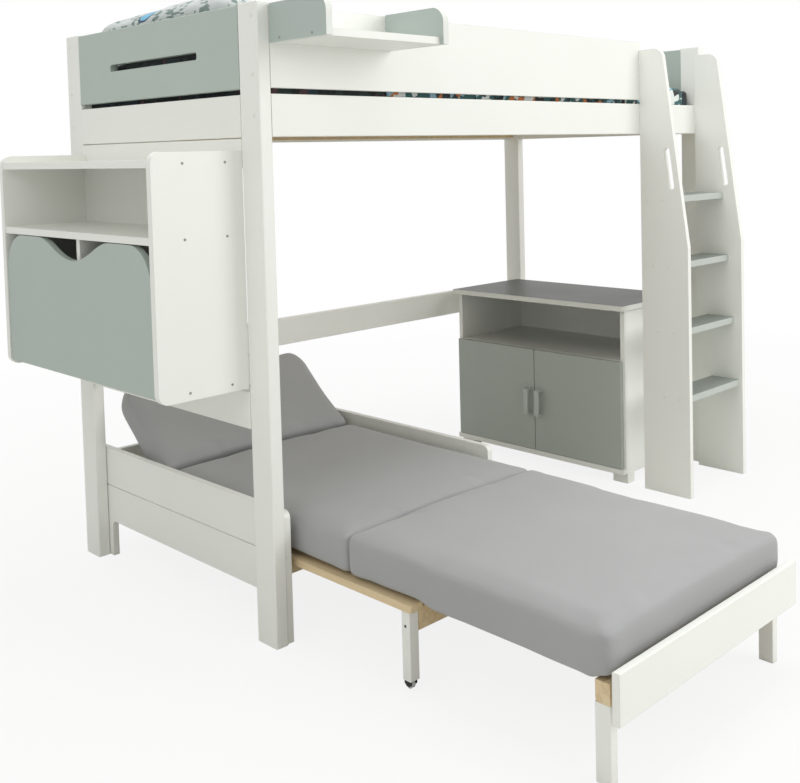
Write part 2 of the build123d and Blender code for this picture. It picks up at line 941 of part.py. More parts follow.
def deck_slats(lanes, y_from, y_to, bottom, square=False):
    # Slats of one comb, with rounded front corners unless they butt on a bearer.
    for lane in lanes:
        with BuildSketch(Plane.XY.offset(bottom)) as slat_outline:
            with Locations((lane_x(lane), (y_from + y_to) / 2)):
                Rectangle(slat_width, y_to - y_from)
            if not square:
                fillet(slat_outline.vertices().group_by(Axis.Y)[0], slat_end_round)
        extrude(slat_outline.sketch, amount=deck_height - bottom)


bearer_front = front_y + bearer_set_back
sliding_bottom = deck_bottom + seat_gap
cross_rail_top = deck_bottom - seat_gap
with BuildPart() as fixed_slats:
    deck_slats(fixed_lanes, front_y + fixed_slat_set_back, sofa_back_front, deck_bottom)
save(fixed_slats, "sofa_fixed_slats")

with BuildPart() as sofa_bearers:
    for bearer_y in (bearer_front, sofa_back_front - bearer_width):
        bar(
            sofa_x - inner_half,
            sofa_x + inner_half,
            bearer_y,
            bearer_y + bearer_width,
            deck_bottom - bearer_height,
            deck_bottom,
        )
save(sofa_bearers, "sofa_bearers")

# Middle frame: slats on a cross rail between two legs with castors. The sliding slats run a hair
# above the fixed bearers, and packing holds them on the cross rail.
middle_front = front_y - bed_width * middle_reach_share
middle_slat_rear = middle_front + bed_width - middle_slat_room
outer_slat_left = lane_x(0) - slat_width / 2
outer_slat_right = lane_x(lane_count - 1) + slat_width / 2
middle_legs_x = (
    outer_slat_left + middle_leg_inset,
    outer_slat_right - middle_leg_inset - middle_leg_width,
)
with BuildPart() as middle_slats:
    deck_slats(
        middle_lanes, middle_front - middle_slat_lead, middle_slat_rear, sliding_bottom
    )
    bar(
        middle_legs_x[0] + middle_leg_width,
        middle_legs_x[1],
        middle_front,
        middle_front + cross_rail_thickness,
        cross_rail_top - cross_rail_height,
        cross_rail_top,
    )
    for lane in middle_lanes[1:-1]:
        bar(
            lane_x(lane) - slat_width / 2,
            lane_x(lane) + slat_width / 2,
            middle_front,
            middle_front + cross_rail_thickness,
            cross_rail_top,
            sliding_bottom,
        )
save(middle_slats, "middle_frame_slats")

with BuildPart() as middle_legs:
    for leg_x in middle_legs_x:
        bar(
            leg_x,
            leg_x + middle_leg_width,
            middle_front,
            middle_front + middle_leg_depth,
            middle_leg_bottom,
            sliding_bottom,
        )
    ease(middle_legs, Axis.Z)
save(middle_legs, "middle_legs")

# Castors: a hood with two cheeks and an axle, and a wheel that turns on the axle
castor_y = middle_front + middle_leg_depth - castor_hood_depth / 2
slot_half = castor_wheel_width / 2 + castor_side_clearance
hood_half = slot_half + castor_cheek
castor_centres = {
    "left": middle_legs_x[0] + middle_leg_width / 2,
    "right": middle_legs_x[1] + middle_leg_width / 2,
}
with BuildPart() as castor_hoods:
    for castor_x in castor_centres.values():
        with BuildSketch(Plane.YZ.offset(castor_x - hood_half)):
            with BuildLine():
                Polyline(
                    (castor_y - castor_hood_depth / 2, middle_leg_bottom),
                    (castor_y - castor_hood_depth / 2, castor_wheel_radius + castor_axle_radius),
                    (castor_y - castor_hood_nose, castor_wheel_radius - castor_hood_nose),
                    (castor_y + castor_hood_nose, castor_wheel_radius - castor_hood_nose),
                    (castor_y + castor_hood_depth / 2, castor_wheel_radius + castor_axle_radius),
                    (castor_y + castor_hood_depth / 2, middle_leg_bottom),
                    close=True,
                )
            make_face()
        extrude(amount=2 * hood_half)
        bar(
            castor_x - slot_half,
            castor_x + slot_half,
            castor_y - castor_hood_depth,
            castor_y + castor_hood_depth,
            0,
            castor_hood_roof,
            Mode.SUBTRACT,
        )
        with BuildSketch(Plane.YZ.offset(castor_x - slot_half)):
            with Locations((castor_y, castor_wheel_radius)):
                Circle(castor_axle_radius)
        extrude(amount=2 * slot_half)
save(castor_hoods, "castor_housings")

for wheel_name, castor_x in castor_centres.items():
    with BuildPart() as castor_wheel:
        with BuildSketch(Plane.YZ.offset(castor_x - castor_wheel_width / 2)):
            with Locations((castor_y, castor_wheel_radius)):
                Circle(castor_wheel_radius)
                Circle(castor_axle_radius + castor_axle_clearance, mode=Mode.SUBTRACT)
        extrude(amount=castor_wheel_width)
        rims = castor_wheel.edges().filter_by(GeomType.CIRCLE).sort_by(SortBy.RADIUS)[-2:]
        chamfer(rims, castor_wheel_edge)
    save(castor_wheel, "castor_wheel_" + wheel_name)

# End frame: the board at the far end, its legs, the bearer on the legs and the slats behind it
end_front_y = front_y - end_reach
board_back = end_front_y + end_board_thickness
bearer_face = end_front_y + end_leg_set_back
bearer_back = bearer_face + end_bearer_depth
end_half = end_board_width / 2
end_leg_rows = (sofa_x - end_half + end_leg_inset, sofa_x + end_half - end_leg_inset - end_leg_width)
with BuildPart() as end_board:
    bar(
        sofa_x - end_half,
        sofa_x + end_half,
        end_front_y,
        board_back,
        end_board_bottom,
        end_board_bottom + end_board_height,
    )
    ease(end_board, Axis.X)
save(end_board, "sofa_end_board")

end_leg_top = deck_height - end_bearer_height
with BuildPart() as end_legs:
    for leg_x in end_leg_rows:
        bar(leg_x, leg_x + end_leg_width, bearer_face, bearer_face + end_leg_depth, 0, end_leg_top)
    ease(end_legs, Axis.Z)
save(end_legs, "sofa_end_legs")

with BuildPart() as end_bearer:
    bar(
        end_leg_rows[0],
        end_leg_rows[1] + end_leg_width,
        bearer_face,
        bearer_back,
        end_leg_top,
        deck_height,
    )
    bar(
        end_leg_rows[0] + spacer_inset,
        end_leg_rows[1] + end_leg_width - spacer_inset,
        board_back,
        bearer_face,
        deck_height - spacer_height,
        deck_height,
    )
    back_corner = end_bearer.edges().filter_by(Axis.X).group_by(Axis.Y)[-1].sort_by(Axis.Z)[0]
    fillet(back_corner, end_bearer_round)
save(end_bearer, "sofa_end_bearer")

with BuildPart() as end_slats:
    deck_slats(
        end_lanes, bearer_back, bearer_back + end_slat_length, sliding_bottom, square=True
    )
save(end_slats, "end_frame_slats")


def cushion_section(plane, half_width, base, side_top, crown_top, corner):
    # Cross-section of a cushion: flat base, round corners and a top that is crowned across.
    bend = corner * (1 - sin(radians(45)))
    shelf = half_width - corner
    with BuildSketch(plane) as section:
        with BuildLine():
            Line((-shelf, base), (shelf, base))
            ThreePointArc((shelf, base), (half_width - bend, base + bend), (half_width, base + corner))
            Line((half_width, base + corner), (half_width, side_top - corner))
            ThreePointArc(
                (half_width, side_top - corner),
                (half_width - bend, side_top - bend),
                (shelf, side_top),
            )
            ThreePointArc((shelf, side_top), (0, crown_top), (-shelf, side_top))
            ThreePointArc(
                (-shelf, side_top),
                (bend - half_width, side_top - bend),
                (-half_width, side_top - corner),
            )
            Line((-half_width, side_top - corner), (-half_width, base + corner))
            ThreePointArc(
                (-half_width, base + corner),
                (bend - half_width, base + bend),
                (-shelf, base),
            )
        make_face()
    return section.sketch


# How an end of a cushion turns in: the distance from the end and the inset there, as shares of
# the end's round.
end_turn_shares = ((0, 1), (0.3, 0.29), (1, 0))


def crowned_cushion(plane, length, thickness, free_start, free_end):
    # Lofts a cushion along a plane's normal. The plane's origin is at the middle of the width, on
    # the pivot height. Where two cushions meet, the top keeps its height right up to the seam.
    half_width = cushion_width / 2
    side_drop = seat_gap + cushion_crown
    start_turn = cushion_end_round if free_start else cushion_seam_round
    end_turn = cushion_end_round if free_end else cushion_seam_round
    start_sections = []
    end_sections = []
    for distance_share, inset_share in end_turn_shares:
        for sections, turn, is_free, where in (
            (start_sections, start_turn, free_start, distance_share * start_turn),
            (end_sections, end_turn, free_end, length - distance_share * end_turn),
        ):
            inset = inset_share * turn
            top_inset = inset if is_free else 0
            sections.append(
                cushion_section(
                    plane.offset(where),
                    half_width - inset,
                    inset - thickness,
                    -side_drop - top_inset,
                    -seat_gap - top_inset,
                    cushion_edge,
                )
            )
    waist = cushion_section(
        plane.offset(length / 2),
        half_width - cushion_draw,
        -thickness,
        -side_drop,
        -seat_gap,
        cushion_edge,
    )
    loft(start_sections)
    loft([start_sections[-1], waist, end_sections[-1]])
    loft(list(reversed(end_sections)))


# Cushions: the seat, the front one that folds over onto it, and the back one. Each hinges on the
# seam of the cover, just above the crowns.
seam_height = deck_height + seat_gap + seat_thickness + cushion_crown + seat_gap
seat_front = front_y - seat_lead
seat_rear = rear_y - back_room
seat_length = seat_rear - seat_front
front_length = end_reach - end_board_thickness - front_gap - seat_lead
with BuildPart() as seat_cushion:
    crowned_cushion(
        Plane(
            origin=(sofa_x, seat_front + seat_gap, seam_height), x_dir=(-1, 0, 0), z_dir=(0, 1, 0)
        ),
        seat_length - 2 * seat_gap,
        seat_thickness + cushion_crown + seat_gap,
        False,
        False,
    )
save(seat_cushion, "seat_cushion")

with BuildPart() as front_cushion:
    crowned_cushion(
        Plane(
            origin=(sofa_x, seat_front - seat_gap, seam_height), x_dir=(1, 0, 0), z_dir=(0, -1, 0)
        ),
        front_length - seat_gap,
        seat_thickness + cushion_crown + seat_gap,
        False,
        True,
    )
save(front_cushion, "front_cushion")

back_run = cos(radians(back_tilt))
back_rise = sin(radians(back_tilt))
with BuildPart() as back_cushion:
    crowned_cushion(
        Plane(
            origin=(sofa_x, seat_rear + seat_gap * back_run, seam_height + seat_gap * back_rise),
            x_dir=(-1, 0, 0),
            z_dir=(0, back_run, back_rise),
        ),
        back_length,
        back_thickness + cushion_crown,
        False,
        True,
    )
save(back_cushion, "back_cushion")


def cap(plane, places):
    # Adds round screw caps on a plane.
    with BuildSketch(plane) as rounds:
        with Locations(*places):
            Circle(cap_radius)
    extrude(rounds.sketch, amount=cap_height)


# Screw caps on the posts' end faces, the ladder, the bedside brackets and the hutch
post_cap_places = []
for cap_y in (front_y + post_cap_inset, rear_y - post_cap_inset):
    for cap_z in (
        bed_height - post_cap_drop,
        guard_bottom + post_cap_drop,
        rail_bottom + rail_height / 2,
    ):
        post_cap_places.append((cap_y, cap_z))
tread_cap_places = []
for index in range(tread_count):
    tread_front = front_y - first_tread_reach + index * tread_step_back
    cap_z = first_tread_top + index * tread_rise - tread_thickness / 2
    for cap_y in (tread_front + tread_cap_inset, tread_front + tread_depth - tread_cap_inset):
        tread_cap_places.append((cap_y, cap_z))
bracket_cap_places = []
for cap_y in (front_y - bracket_cap_inset, front_y - bedside_depth + bracket_cap_inset):
    bracket_cap_places.append((cap_y, bedside_bottom + bedside_board / 2))
hutch_cap_places = []
for row_bottom in (hutch_floor_bottom, hutch_shelf_top - hutch_board, hutch_roof_top - hutch_board):
    for cap_x in (head_x - hutch_cap_inset, hutch_front + hutch_depth / 3):
        hutch_cap_places.append((cap_x, row_bottom + hutch_board / 2))
with BuildPart() as screw_caps:
    cap(Plane.YZ.offset(head_x - cap_height), post_cap_places)
    cap(Plane.YZ.offset(foot_x), post_cap_places)
    cap(Plane.YZ.offset(ladder_left - cap_height), tread_cap_places)
    cap(Plane.YZ.offset(ladder_right + stile_thickness), tread_cap_places)
    cap(Plane.YZ.offset(rail_left - cap_height), bracket_cap_places)
    cap(Plane.YZ.offset(bedside_right), bracket_cap_places)
    cap(Plane.XZ.offset(-hutch_near), hutch_cap_places)
    cap(Plane.XZ.offset(-hutch_far - cap_height), hutch_cap_places)
save(screw_caps, "screw_caps")
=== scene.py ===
import bmesh
import bpy
import json
import math
import numpy as np
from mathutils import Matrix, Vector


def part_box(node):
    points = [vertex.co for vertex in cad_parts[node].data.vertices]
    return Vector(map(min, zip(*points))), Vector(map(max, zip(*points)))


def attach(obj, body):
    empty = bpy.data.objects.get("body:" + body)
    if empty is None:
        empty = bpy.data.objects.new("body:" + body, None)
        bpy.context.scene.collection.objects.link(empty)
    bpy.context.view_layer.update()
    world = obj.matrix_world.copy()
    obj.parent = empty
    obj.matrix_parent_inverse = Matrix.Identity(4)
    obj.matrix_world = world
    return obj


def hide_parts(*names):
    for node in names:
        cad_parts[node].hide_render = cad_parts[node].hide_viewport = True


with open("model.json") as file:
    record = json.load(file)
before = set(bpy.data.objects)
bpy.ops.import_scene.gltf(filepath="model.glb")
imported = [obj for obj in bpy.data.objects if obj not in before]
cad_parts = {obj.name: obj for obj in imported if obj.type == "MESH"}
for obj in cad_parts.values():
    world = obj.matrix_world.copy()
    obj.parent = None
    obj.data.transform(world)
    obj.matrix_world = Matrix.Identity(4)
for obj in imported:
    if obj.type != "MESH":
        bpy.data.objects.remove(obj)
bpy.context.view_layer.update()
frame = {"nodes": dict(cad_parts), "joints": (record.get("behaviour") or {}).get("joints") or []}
nodes = frame["nodes"]
print("frame loaded:", len(nodes), "pieces")


def cornersOf(node):
    low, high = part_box(node)
    return np.array(low), np.array(high)


def readPoints(mesh):
    flat = np.empty(len(mesh.vertices) * 3)
    mesh.vertices.foreach_get("co", flat)
    return flat.reshape(-1, 3)


def writePoints(mesh, points):
    mesh.vertices.foreach_set("co", np.asarray(points, dtype=float).ravel())
    mesh.update()


mergeReach, sliverReach, cadMergeReach = 1e-6, 1e-7, 1e-5  # metres


def newPiece(name, points, faces, material, body):
    mesh = bpy.data.meshes.new(name)
    mesh.from_pydata(points.reshape(-1, 3).tolist(), [], faces.tolist())
    tool = bmesh.new()
    tool.from_mesh(mesh)
    bmesh.ops.remove_doubles(tool, verts=tool.verts, dist=mergeReach)
    bmesh.ops.dissolve_degenerate(tool, edges=tool.edges, dist=sliverReach)
    bmesh.ops.recalc_face_normals(tool, faces=tool.faces)
    tool.to_mesh(mesh)
    tool.free()
    mesh.polygons.foreach_set("use_smooth", [True] * len(mesh.polygons))
    piece = bpy.data.objects.new(name, mesh)
    bpy.context.scene.collection.objects.link(piece)
    mesh.materials.append(material)
    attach(piece, body)
    return piece


def gridFaces(rows, columns, closedColumns=False):
    # quads between neighbouring rows and columns of a grid of points numbered row by row
    row, column = np.meshgrid(
        np.arange(rows - 1), np.arange(columns if closedColumns else columns - 1), indexing="ij"
    )
    nextColumn = (column + 1) % columns
    return np.stack(
        [
            row * columns + column,
            row * columns + nextColumn,
            (row + 1) * columns + nextColumn,
            (row + 1) * columns + column,
        ],
        axis=-1,
    ).reshape(-1, 4)


def shade(red, green, blue):
    # a screen colour of 0 to 255 a channel as the linear colour that a shader takes, by the usual
    # curve: a straight foot, then a power
    channels = np.array([red, green, blue]) / 255
    linear = np.where(channels < 0.04045, channels / 12.92, ((channels + 0.055) / 1.055) ** 2.4)
    return (*[float(channel) for channel in linear], 1.0)


class Wire:  # an output socket; + - * / and comparisons with it add Math nodes
    def __init__(self, board, socket):
        self.board = board
        self.socket = socket

    def maths(self, operation, first, second=0.0):
        return self.board.add("ShaderNodeMath", {"operation": operation}, {0: first, 1: second})

    def __add__(self, other):
        return self.maths("ADD", self, other)

    def __radd__(self, other):
        return self.maths("ADD", other, self)

    def __sub__(self, other):
        return self.maths("SUBTRACT", self, other)

    def __rsub__(self, other):
        return self.maths("SUBTRACT", other, self)

    def __mul__(self, other):
        return self.maths("MULTIPLY", self, other)

    def __rmul__(self, other):
        return self.maths("MULTIPLY", other, self)

    def __truediv__(self, other):
        return self.maths("DIVIDE", self, other)

    def __rtruediv__(self, other):
        return self.maths("DIVIDE", other, self)

    def __gt__(self, other):
        return self.maths("GREATER_THAN", self, other)

    def __lt__(self, other):
        return self.maths("LESS_THAN", self, other)

    def __abs__(self):
        return self.maths("ABSOLUTE", self)

    def wave(self):
        return self.maths("SINE", self)

    def atLeast(self, other):
        return self.maths("MAXIMUM", self, other)

    def atMost(self, other):
        return self.maths("MINIMUM", self, other)


class Board:  # a node tree; one method adds every node
    def __init__(self, tree):
        self.tree = tree

    def add(self, kind, settings=None, sockets=None, out=0):
        node = self.tree.nodes.new(kind)
        for key, value in (settings or {}).items():
            if key == "stops":
                while len(node.color_ramp.elements) < len(value):
                    node.color_ramp.elements.new(1.0)
                for element, (place, colour) in zip(node.color_ramp.elements, value):
                    element.position = place
                    element.color = colour
            elif key == "steps":
                node.color_ramp.interpolation = value
            else:
                setattr(node, key, value)
        for key, value in (sockets or {}).items():
            self.feed(value, node.inputs[key])
        return Wire(self, node.outputs[out])

    def feed(self, value, socket):
        if isinstance(value, Wire):
            self.tree.links.new(value.socket, socket)
        else:
            socket.default_value = value

    def place(self, scale=(1, 1, 1), turn=(0, 0, 0)):
        spot = self.add("ShaderNodeTexCoord", out="Object")
        return self.add(
            "ShaderNodeMapping", {}, {"Vector": spot, "Scale": scale, "Rotation": turn}
        )

    def axes(self, vector):
        parts = self.add("ShaderNodeSeparateXYZ", {}, {0: vector})
        return [Wire(self, parts.socket.node.outputs[i]) for i in range(3)]

    def noise(self, vector, scale, detail=2.0, roughness=0.5):
        return self.add(
            "ShaderNodeTexNoise",
            {},
            {"Vector": vector, "Scale": scale, "Detail": detail, "Roughness": roughness},
        )

    def mix(self, share, first, second):
        return self.add(
            "ShaderNodeMix", {"data_type": "RGBA"}, {0: share, 6: first, 7: second}, out=2
        )


facingLimit = 0.72  # a face whose normal has more than this along an axis looks along it


class Finish(Board):  # one material, with a shader whose constants are set on its own sockets
    def __init__(self, name, **constants):
        self.material = bpy.data.materials.new(name)
        self.material.use_nodes = True
        super().__init__(self.material.node_tree)
        self.shader = self.tree.nodes["Principled BSDF"]
        for socket, value in constants.items():
            self.shader.inputs[socket.replace("_", " ")].default_value = value

    def facing(self, axis):  # 1 on faces that look along the axis, 0 on the edges between them
        straight = self.add("ShaderNodeTexCoord", out="Normal")
        return abs(self.axes(straight)[axis]) > facingLimit

    def finish(self, colour, roughness, height, look):
        # a bump gives the relief, over edges that are softened where the look says how far
        self.feed(colour, self.shader.inputs["Base Color"])
        self.feed(roughness, self.shader.inputs["Roughness"])
        relief = {"Height": height, "Strength": look["relief"], "Distance": look["reliefDepth"]}
        if "softEdge" in look:
            soft = self.add("ShaderNodeBevel", {"samples": 4}, {"Radius": look["softEdge"]})
            relief["Normal"] = soft
        self.feed(self.add("ShaderNodeBump", {}, relief), self.shader.inputs["Normal"])
        return self.material


def drawnOut(along, stretch):
    # scales of the place that draw a pattern out along one axis
    return tuple(stretch if axis == along else 1.0 for axis in range(3))


whitePaint = {
    "face": (243, 244, 239), "worn": (235, 236, 229), "roughness": 0.33,
    "driftScale": 3.0, "driftTone": 0.5, "driftGloss": 0.1,
    "grainScale": 220.0, "grainStretch": 0.05, "grainTone": 0.3, "grainGloss": 0.06,
    "grainRelief": 0.6, "peelScale": 900.0, "peelRelief": 0.4,
    "relief": 0.12, "reliefDepth": 0.0006, "softEdge": 0.0016,
}


def paintedWhite(name, along):
    # a broad drift of tone and a fine grain that runs along one axis, over a slight orange peel
    paint = Finish(name)
    broad = paint.noise(paint.place(), whitePaint["driftScale"])
    grainPlace = paint.place(drawnOut(along, whitePaint["grainStretch"]))
    grain = paint.noise(grainPlace, whitePaint["grainScale"], detail=4.0, roughness=0.6)
    orangePeel = paint.noise(paint.place(), whitePaint["peelScale"])
    tone = broad * whitePaint["driftTone"] + grain * whitePaint["grainTone"]
    colour = paint.mix(tone, shade(*whitePaint["face"]), shade(*whitePaint["worn"]))
    rough = whitePaint["roughness"] + broad * whitePaint["driftGloss"]
    rough = rough + grain * whitePaint["grainGloss"]
    height = orangePeel * whitePaint["peelRelief"] + grain * whitePaint["grainRelief"]
    return paint.finish(colour, rough, height, whitePaint)


greyCoat = {"roughness": 0.34, "driftScale": 4.0, "driftTone": 0.7, "speckleScale": 700.0,
            "speckleTone": 0.2, "gloss": 0.08, "relief": 0.14, "reliefDepth": 0.0006,
            "softEdge": 0.0014}
panelGrey = {"face": (181, 193, 185), "deep": (174, 186, 178)}
bracketGrey = {"face": (181, 193, 187), "deep": (174, 186, 180), "edge": (226, 229, 222)}
topGrey = {"face": (84, 86, 82), "deep": (78, 80, 76), "edge": (232, 233, 226)}
treadGrey = {"face": (150, 158, 152), "deep": (142, 150, 144), "edge": (188, 194, 188)}
doorGrey = {"face": (175, 181, 174), "deep": (168, 174, 167)}
handleGrey = {"face": (190, 194, 189), "deep": (182, 186, 181)}


def paintedGrey(name, tones, faceAxis=None):
    # a broad drift of tone under a fine speckle; where an axis is given, only its faces are grey
    paint = Finish(name)
    broad = paint.noise(paint.place(), greyCoat["driftScale"])
    speckle = paint.noise(paint.place(), greyCoat["speckleScale"])
    tone = broad * greyCoat["driftTone"] + speckle * greyCoat["speckleTone"]
    colour = paint.mix(tone, shade(*tones["face"]), shade(*tones["deep"]))
    if faceAxis is not None:
        colour = paint.mix(paint.facing(faceAxis), shade(*tones["edge"]), colour)
    rough = greyCoat["roughness"] + broad * greyCoat["gloss"] + speckle * greyCoat["gloss"]
    return paint.finish(colour, rough, speckle, greyCoat)


whiteUpright = paintedWhite("whiteUpright", 2)
whiteLong = paintedWhite("whiteLong", 0)
whiteAcross = paintedWhite("whiteAcross", 1)
greyPanel = paintedGrey("greyPanel", panelGrey)
greyBracket = paintedGrey("greyBracket", bracketGrey, 0)
greyTop = paintedGrey("greyTop", topGrey, 2)
greyTread = paintedGrey("greyTread", treadGrey, 2)
greyDoor = paintedGrey("greyDoor", doorGrey)
greyHandle = paintedGrey("greyHandle", handleGrey)

pineLook = {"pale": (236, 219, 184), "warm": (220, 195, 150), "line": (188, 152, 104),
            "roughness": 0.5, "stretch": 0.045, "driftScale": 9.0, "driftWarp": 0.7,
            "ringScale": 46.0, "ringTurns": 3.1, "ringRelief": 0.4,
            "ringStops": [(0.52, 0.0), (0.72, 1.0), (0.86, 0.1)], "lineShare": 0.35,
            "fibreScale": 420.0, "fibreShare": 0.18, "fibreGloss": 0.16, "relief": 0.25,
            "reliefDepth": 0.0007, "softEdge": 0.0012}


def planedPine(name, along):
    # rings are a wave of stretched noise, with a fine fibre and a slow drift of tone over them
    wood = Finish(name)
    spot = wood.place(drawnOut(along, pineLook["stretch"]))
    drift = wood.noise(spot, pineLook["driftScale"], detail=3.0)
    rings = wood.noise(spot, pineLook["ringScale"]) + drift * pineLook["driftWarp"]
    fibre = wood.noise(spot, pineLook["fibreScale"], detail=4.0, roughness=0.65)
    wave = (rings * pineLook["ringTurns"]).wave() * 0.5 + 0.5  # from 0 to 1
    stops = [(place, (grey, grey, grey, 1)) for place, grey in pineLook["ringStops"]]
    lines = wood.add("ShaderNodeValToRGB", {"stops": stops}, {0: wave})
    body = wood.mix(drift, shade(*pineLook["pale"]), shade(*pineLook["warm"]))
    lineTone = shade(*pineLook["line"])
    lined = wood.mix(wood.axes(lines)[0] * pineLook["lineShare"], body, lineTone)
    colour = wood.mix(fibre * pineLook["fibreShare"], lined, lineTone)
    rough = pineLook["roughness"] + fibre * pineLook["fibreGloss"]
    return wood.finish(colour, rough, fibre + rings * pineLook["ringRelief"], pineLook)


pineAcross = planedPine("pineAcross", 1)
pineLong = planedPine("pineLong", 0)

steelLook = {"tone": (176, 180, 180), "bright": (206, 208, 207), "roughness": 0.34,
             "streakScale": 900.0, "stretch": 0.04, "streakTone": 0.5, "streakGloss": 0.12,
             "relief": 0.1, "reliefDepth": 0.0004, "softEdge": 0.0008}


def brushedSteel():
    # streaks that run along one axis, in tone, gloss and relief alike
    metal = Finish("brushedSteel", Metallic=1.0)
    streakPlace = metal.place(drawnOut(2, steelLook["stretch"]))
    streak = metal.noise(streakPlace, steelLook["streakScale"], detail=3.0)
    tone = streak * steelLook["streakTone"]
    colour = metal.mix(tone, shade(*steelLook["tone"]), shade(*steelLook["bright"]))
    rough = steelLook["roughness"] + streak * steelLook["streakGloss"]
    return metal.finish(colour, rough, streak, steelLook)


plasticLook = {"lighter": 14, "pitScale": 1400.0, "pitTone": 0.6, "pitGloss": 0.1,
               "relief": 0.12, "reliefDepth": 0.0003, "softEdge": 0.0006}


def mouldedPlastic(name, tone, roughness):
    # a plain tone with fine pits
    plastic = Finish(name)
    pits = plastic.noise(plastic.place(), plasticLook["pitScale"])
    lighter = [min(255, channel + plasticLook["lighter"]) for channel in tone]
    colour = plastic.mix(pits * plasticLook["pitTone"], shade(*tone), shade(*lighter))
    return plastic.finish(colour, roughness + pits * plasticLook["pitGloss"], pits, plasticLook)


steel = brushedSteel()
castorBlack = mouldedPlastic("castorBlack", (30, 30, 32), 0.42)
castorTread = mouldedPlastic("castorTread", (196, 198, 200), 0.3)
plugWhite = mouldedPlastic("plugWhite", (228, 229, 223), 0.36)
screwGrey = mouldedPlastic("screwGrey", (150, 151, 147), 0.38)
screwDark = mouldedPlastic("screwDark", (58, 58, 56), 0.4)

woodwork = {  # each finish and the CAD nodes that carry it
    whiteUpright: "post_front_left post_front_right post_rear_left post_rear_right hutch_sides "
    "ladder_stile_left ladder_stile_right middle_legs sofa_end_legs cabinet_sides hutch_divider",
    whiteLong: "front_side_rail rear_side_rail rear_mid_rail front_guard rear_guard "
    "bedside_shelf_board sofa_back_board sofa_end_board",
    whiteAcross: "end_rails end_mid_rails hutch_hanging_rails hutch_top hutch_shelf hutch_bottom "
    "hutch_back cabinet_bottom cabinet_shelf cabinet_back cabinet_feet sofa_sides",
    greyPanel: "head_panel foot_panel hutch_flap",
    greyBracket: "shelf_brackets",
    greyTop: "cabinet_top",
    greyTread: "ladder_treads",
    greyDoor: "cabinet_door_near cabinet_door_far",
    greyHandle: "door_near_hardware door_far_hardware",
    pineAcross: "slatted_base sofa_fixed_slats middle_frame_slats end_frame_slats",
    pineLong: "sofa_bearers sofa_end_bearer",
    steel: "hinge_arms flap_pivot_pins",
    castorBlack: "castor_housings",
    castorTread: "castor_wheel_left castor_wheel_right",
}
for material, names in woodwork.items():
    for name in names.split():
        for materialSlot in nodes[name].material_slots:
            materialSlot.material = material
print("boards painted")

seatCloth = {
    "face": (175, 176, 176), "deep": (152, 153, 153), "roughness": 0.86, "sheen": 0.2,
    "threads": 3900, "threadTone": 0.08, "threadRelief": 0.5,
    "heatherScale": 520.0, "heatherTone": 0.5, "heatherRelief": 0.8,
    "cloudScale": 5.0, "cloudTone": 0.35, "relief": 0.3, "reliefDepth": 0.0005,
}


def wovenGrey():
    # two sets of threads as products of waves along the axes, with a heathered fleck over them
    cloth = Finish("wovenGrey", Sheen_Weight=seatCloth["sheen"], Sheen_Roughness=0.5)
    x, y, z = cloth.axes(cloth.place([seatCloth["threads"]] * 3))
    threads = x.wave() * y.wave() + y.wave() * z.wave() + z.wave() * x.wave()
    heather = cloth.noise(cloth.place(), seatCloth["heatherScale"], detail=3.0)
    cloud = cloth.noise(cloth.place(), seatCloth["cloudScale"])
    tone = heather * seatCloth["heatherTone"] + cloud * seatCloth["cloudTone"]
    tone = tone + threads * seatCloth["threadTone"]
    colour = cloth.mix(tone, shade(*seatCloth["face"]), shade(*seatCloth["deep"]))
    height = threads * seatCloth["threadRelief"] + heather * seatCloth["heatherRelief"]
    return cloth.finish(colour, seatCloth["roughness"], height, seatCloth)


cottonLook = {"roughness": 0.84, "sheen": 0.15, "threadScale": 1300.0, "relief": 0.25,
              "reliefDepth": 0.0004, "warpScale": 9.0, "warpDetail": 2.0}


def warpedPlace(cloth, reach):
    # the place on the piece, pushed about by a soft noise
    spot = cloth.place()
    sockets = {"Vector": spot, "Scale": cottonLook["warpScale"], "Detail": cottonLook["warpDetail"]}
    push = cloth.add("ShaderNodeTexNoise", {}, sockets, out="Color")
    return cloth.add(
        "ShaderNodeVectorMath", {"operation": "MULTIPLY_ADD"}, {0: push, 1: [reach] * 3, 2: spot}
    )


printLook = {"warp": 0.06, "driftScale": 7.0, "driftTone": 0.1, "thread": (90, 96, 98),
             "threadTone": 0.12}
bedPrintLook = {
    "ground": (46, 100, 100),
    "inks": [(0.0, (236, 239, 237)), (0.3, (30, 52, 56)), (0.5, (156, 196, 212)),
             (0.68, (206, 122, 62)), (0.8, (22, 24, 26))],
    "size": 44.0,
    "share": 0.56,
}
# near-black print: its dark ground is painted shade where the bedding shows only in shaded gaps
shadeSheetLook = {
    "ground": (24, 31, 33),
    "inks": [(0.0, (40, 58, 54)), (0.35, (16, 18, 21)), (0.62, (96, 62, 70)), (0.74, (34, 62, 72))],
    "size": 40.0,
    "share": 0.6,
}


def printedCotton(name, look):
    # soft-edged cells of a few colours, scattered over a plain ground: a generic print
    cloth = Finish(name, Sheen_Weight=cottonLook["sheen"], Sheen_Roughness=0.5)
    drift = cloth.noise(cloth.place(), printLook["driftScale"])
    sockets = {"Vector": warpedPlace(cloth, printLook["warp"]), "Scale": look["size"]}
    pick = cloth.axes(cloth.add("ShaderNodeTexVoronoi", {}, sockets, out="Color"))
    stops = [(place, shade(*ink)) for place, ink in look["inks"]]
    inks = cloth.add("ShaderNodeValToRGB", {"steps": "CONSTANT", "stops": stops}, {0: pick[0]})
    colour = cloth.mix(pick[1] < look["share"], shade(*look["ground"]), inks)
    thread = cloth.noise(cloth.place(), cottonLook["threadScale"])
    dull = thread * printLook["threadTone"] + drift * printLook["driftTone"]
    colour = cloth.mix(dull, colour, shade(*printLook["thread"]))
    return cloth.finish(colour, cottonLook["roughness"], thread, cottonLook)


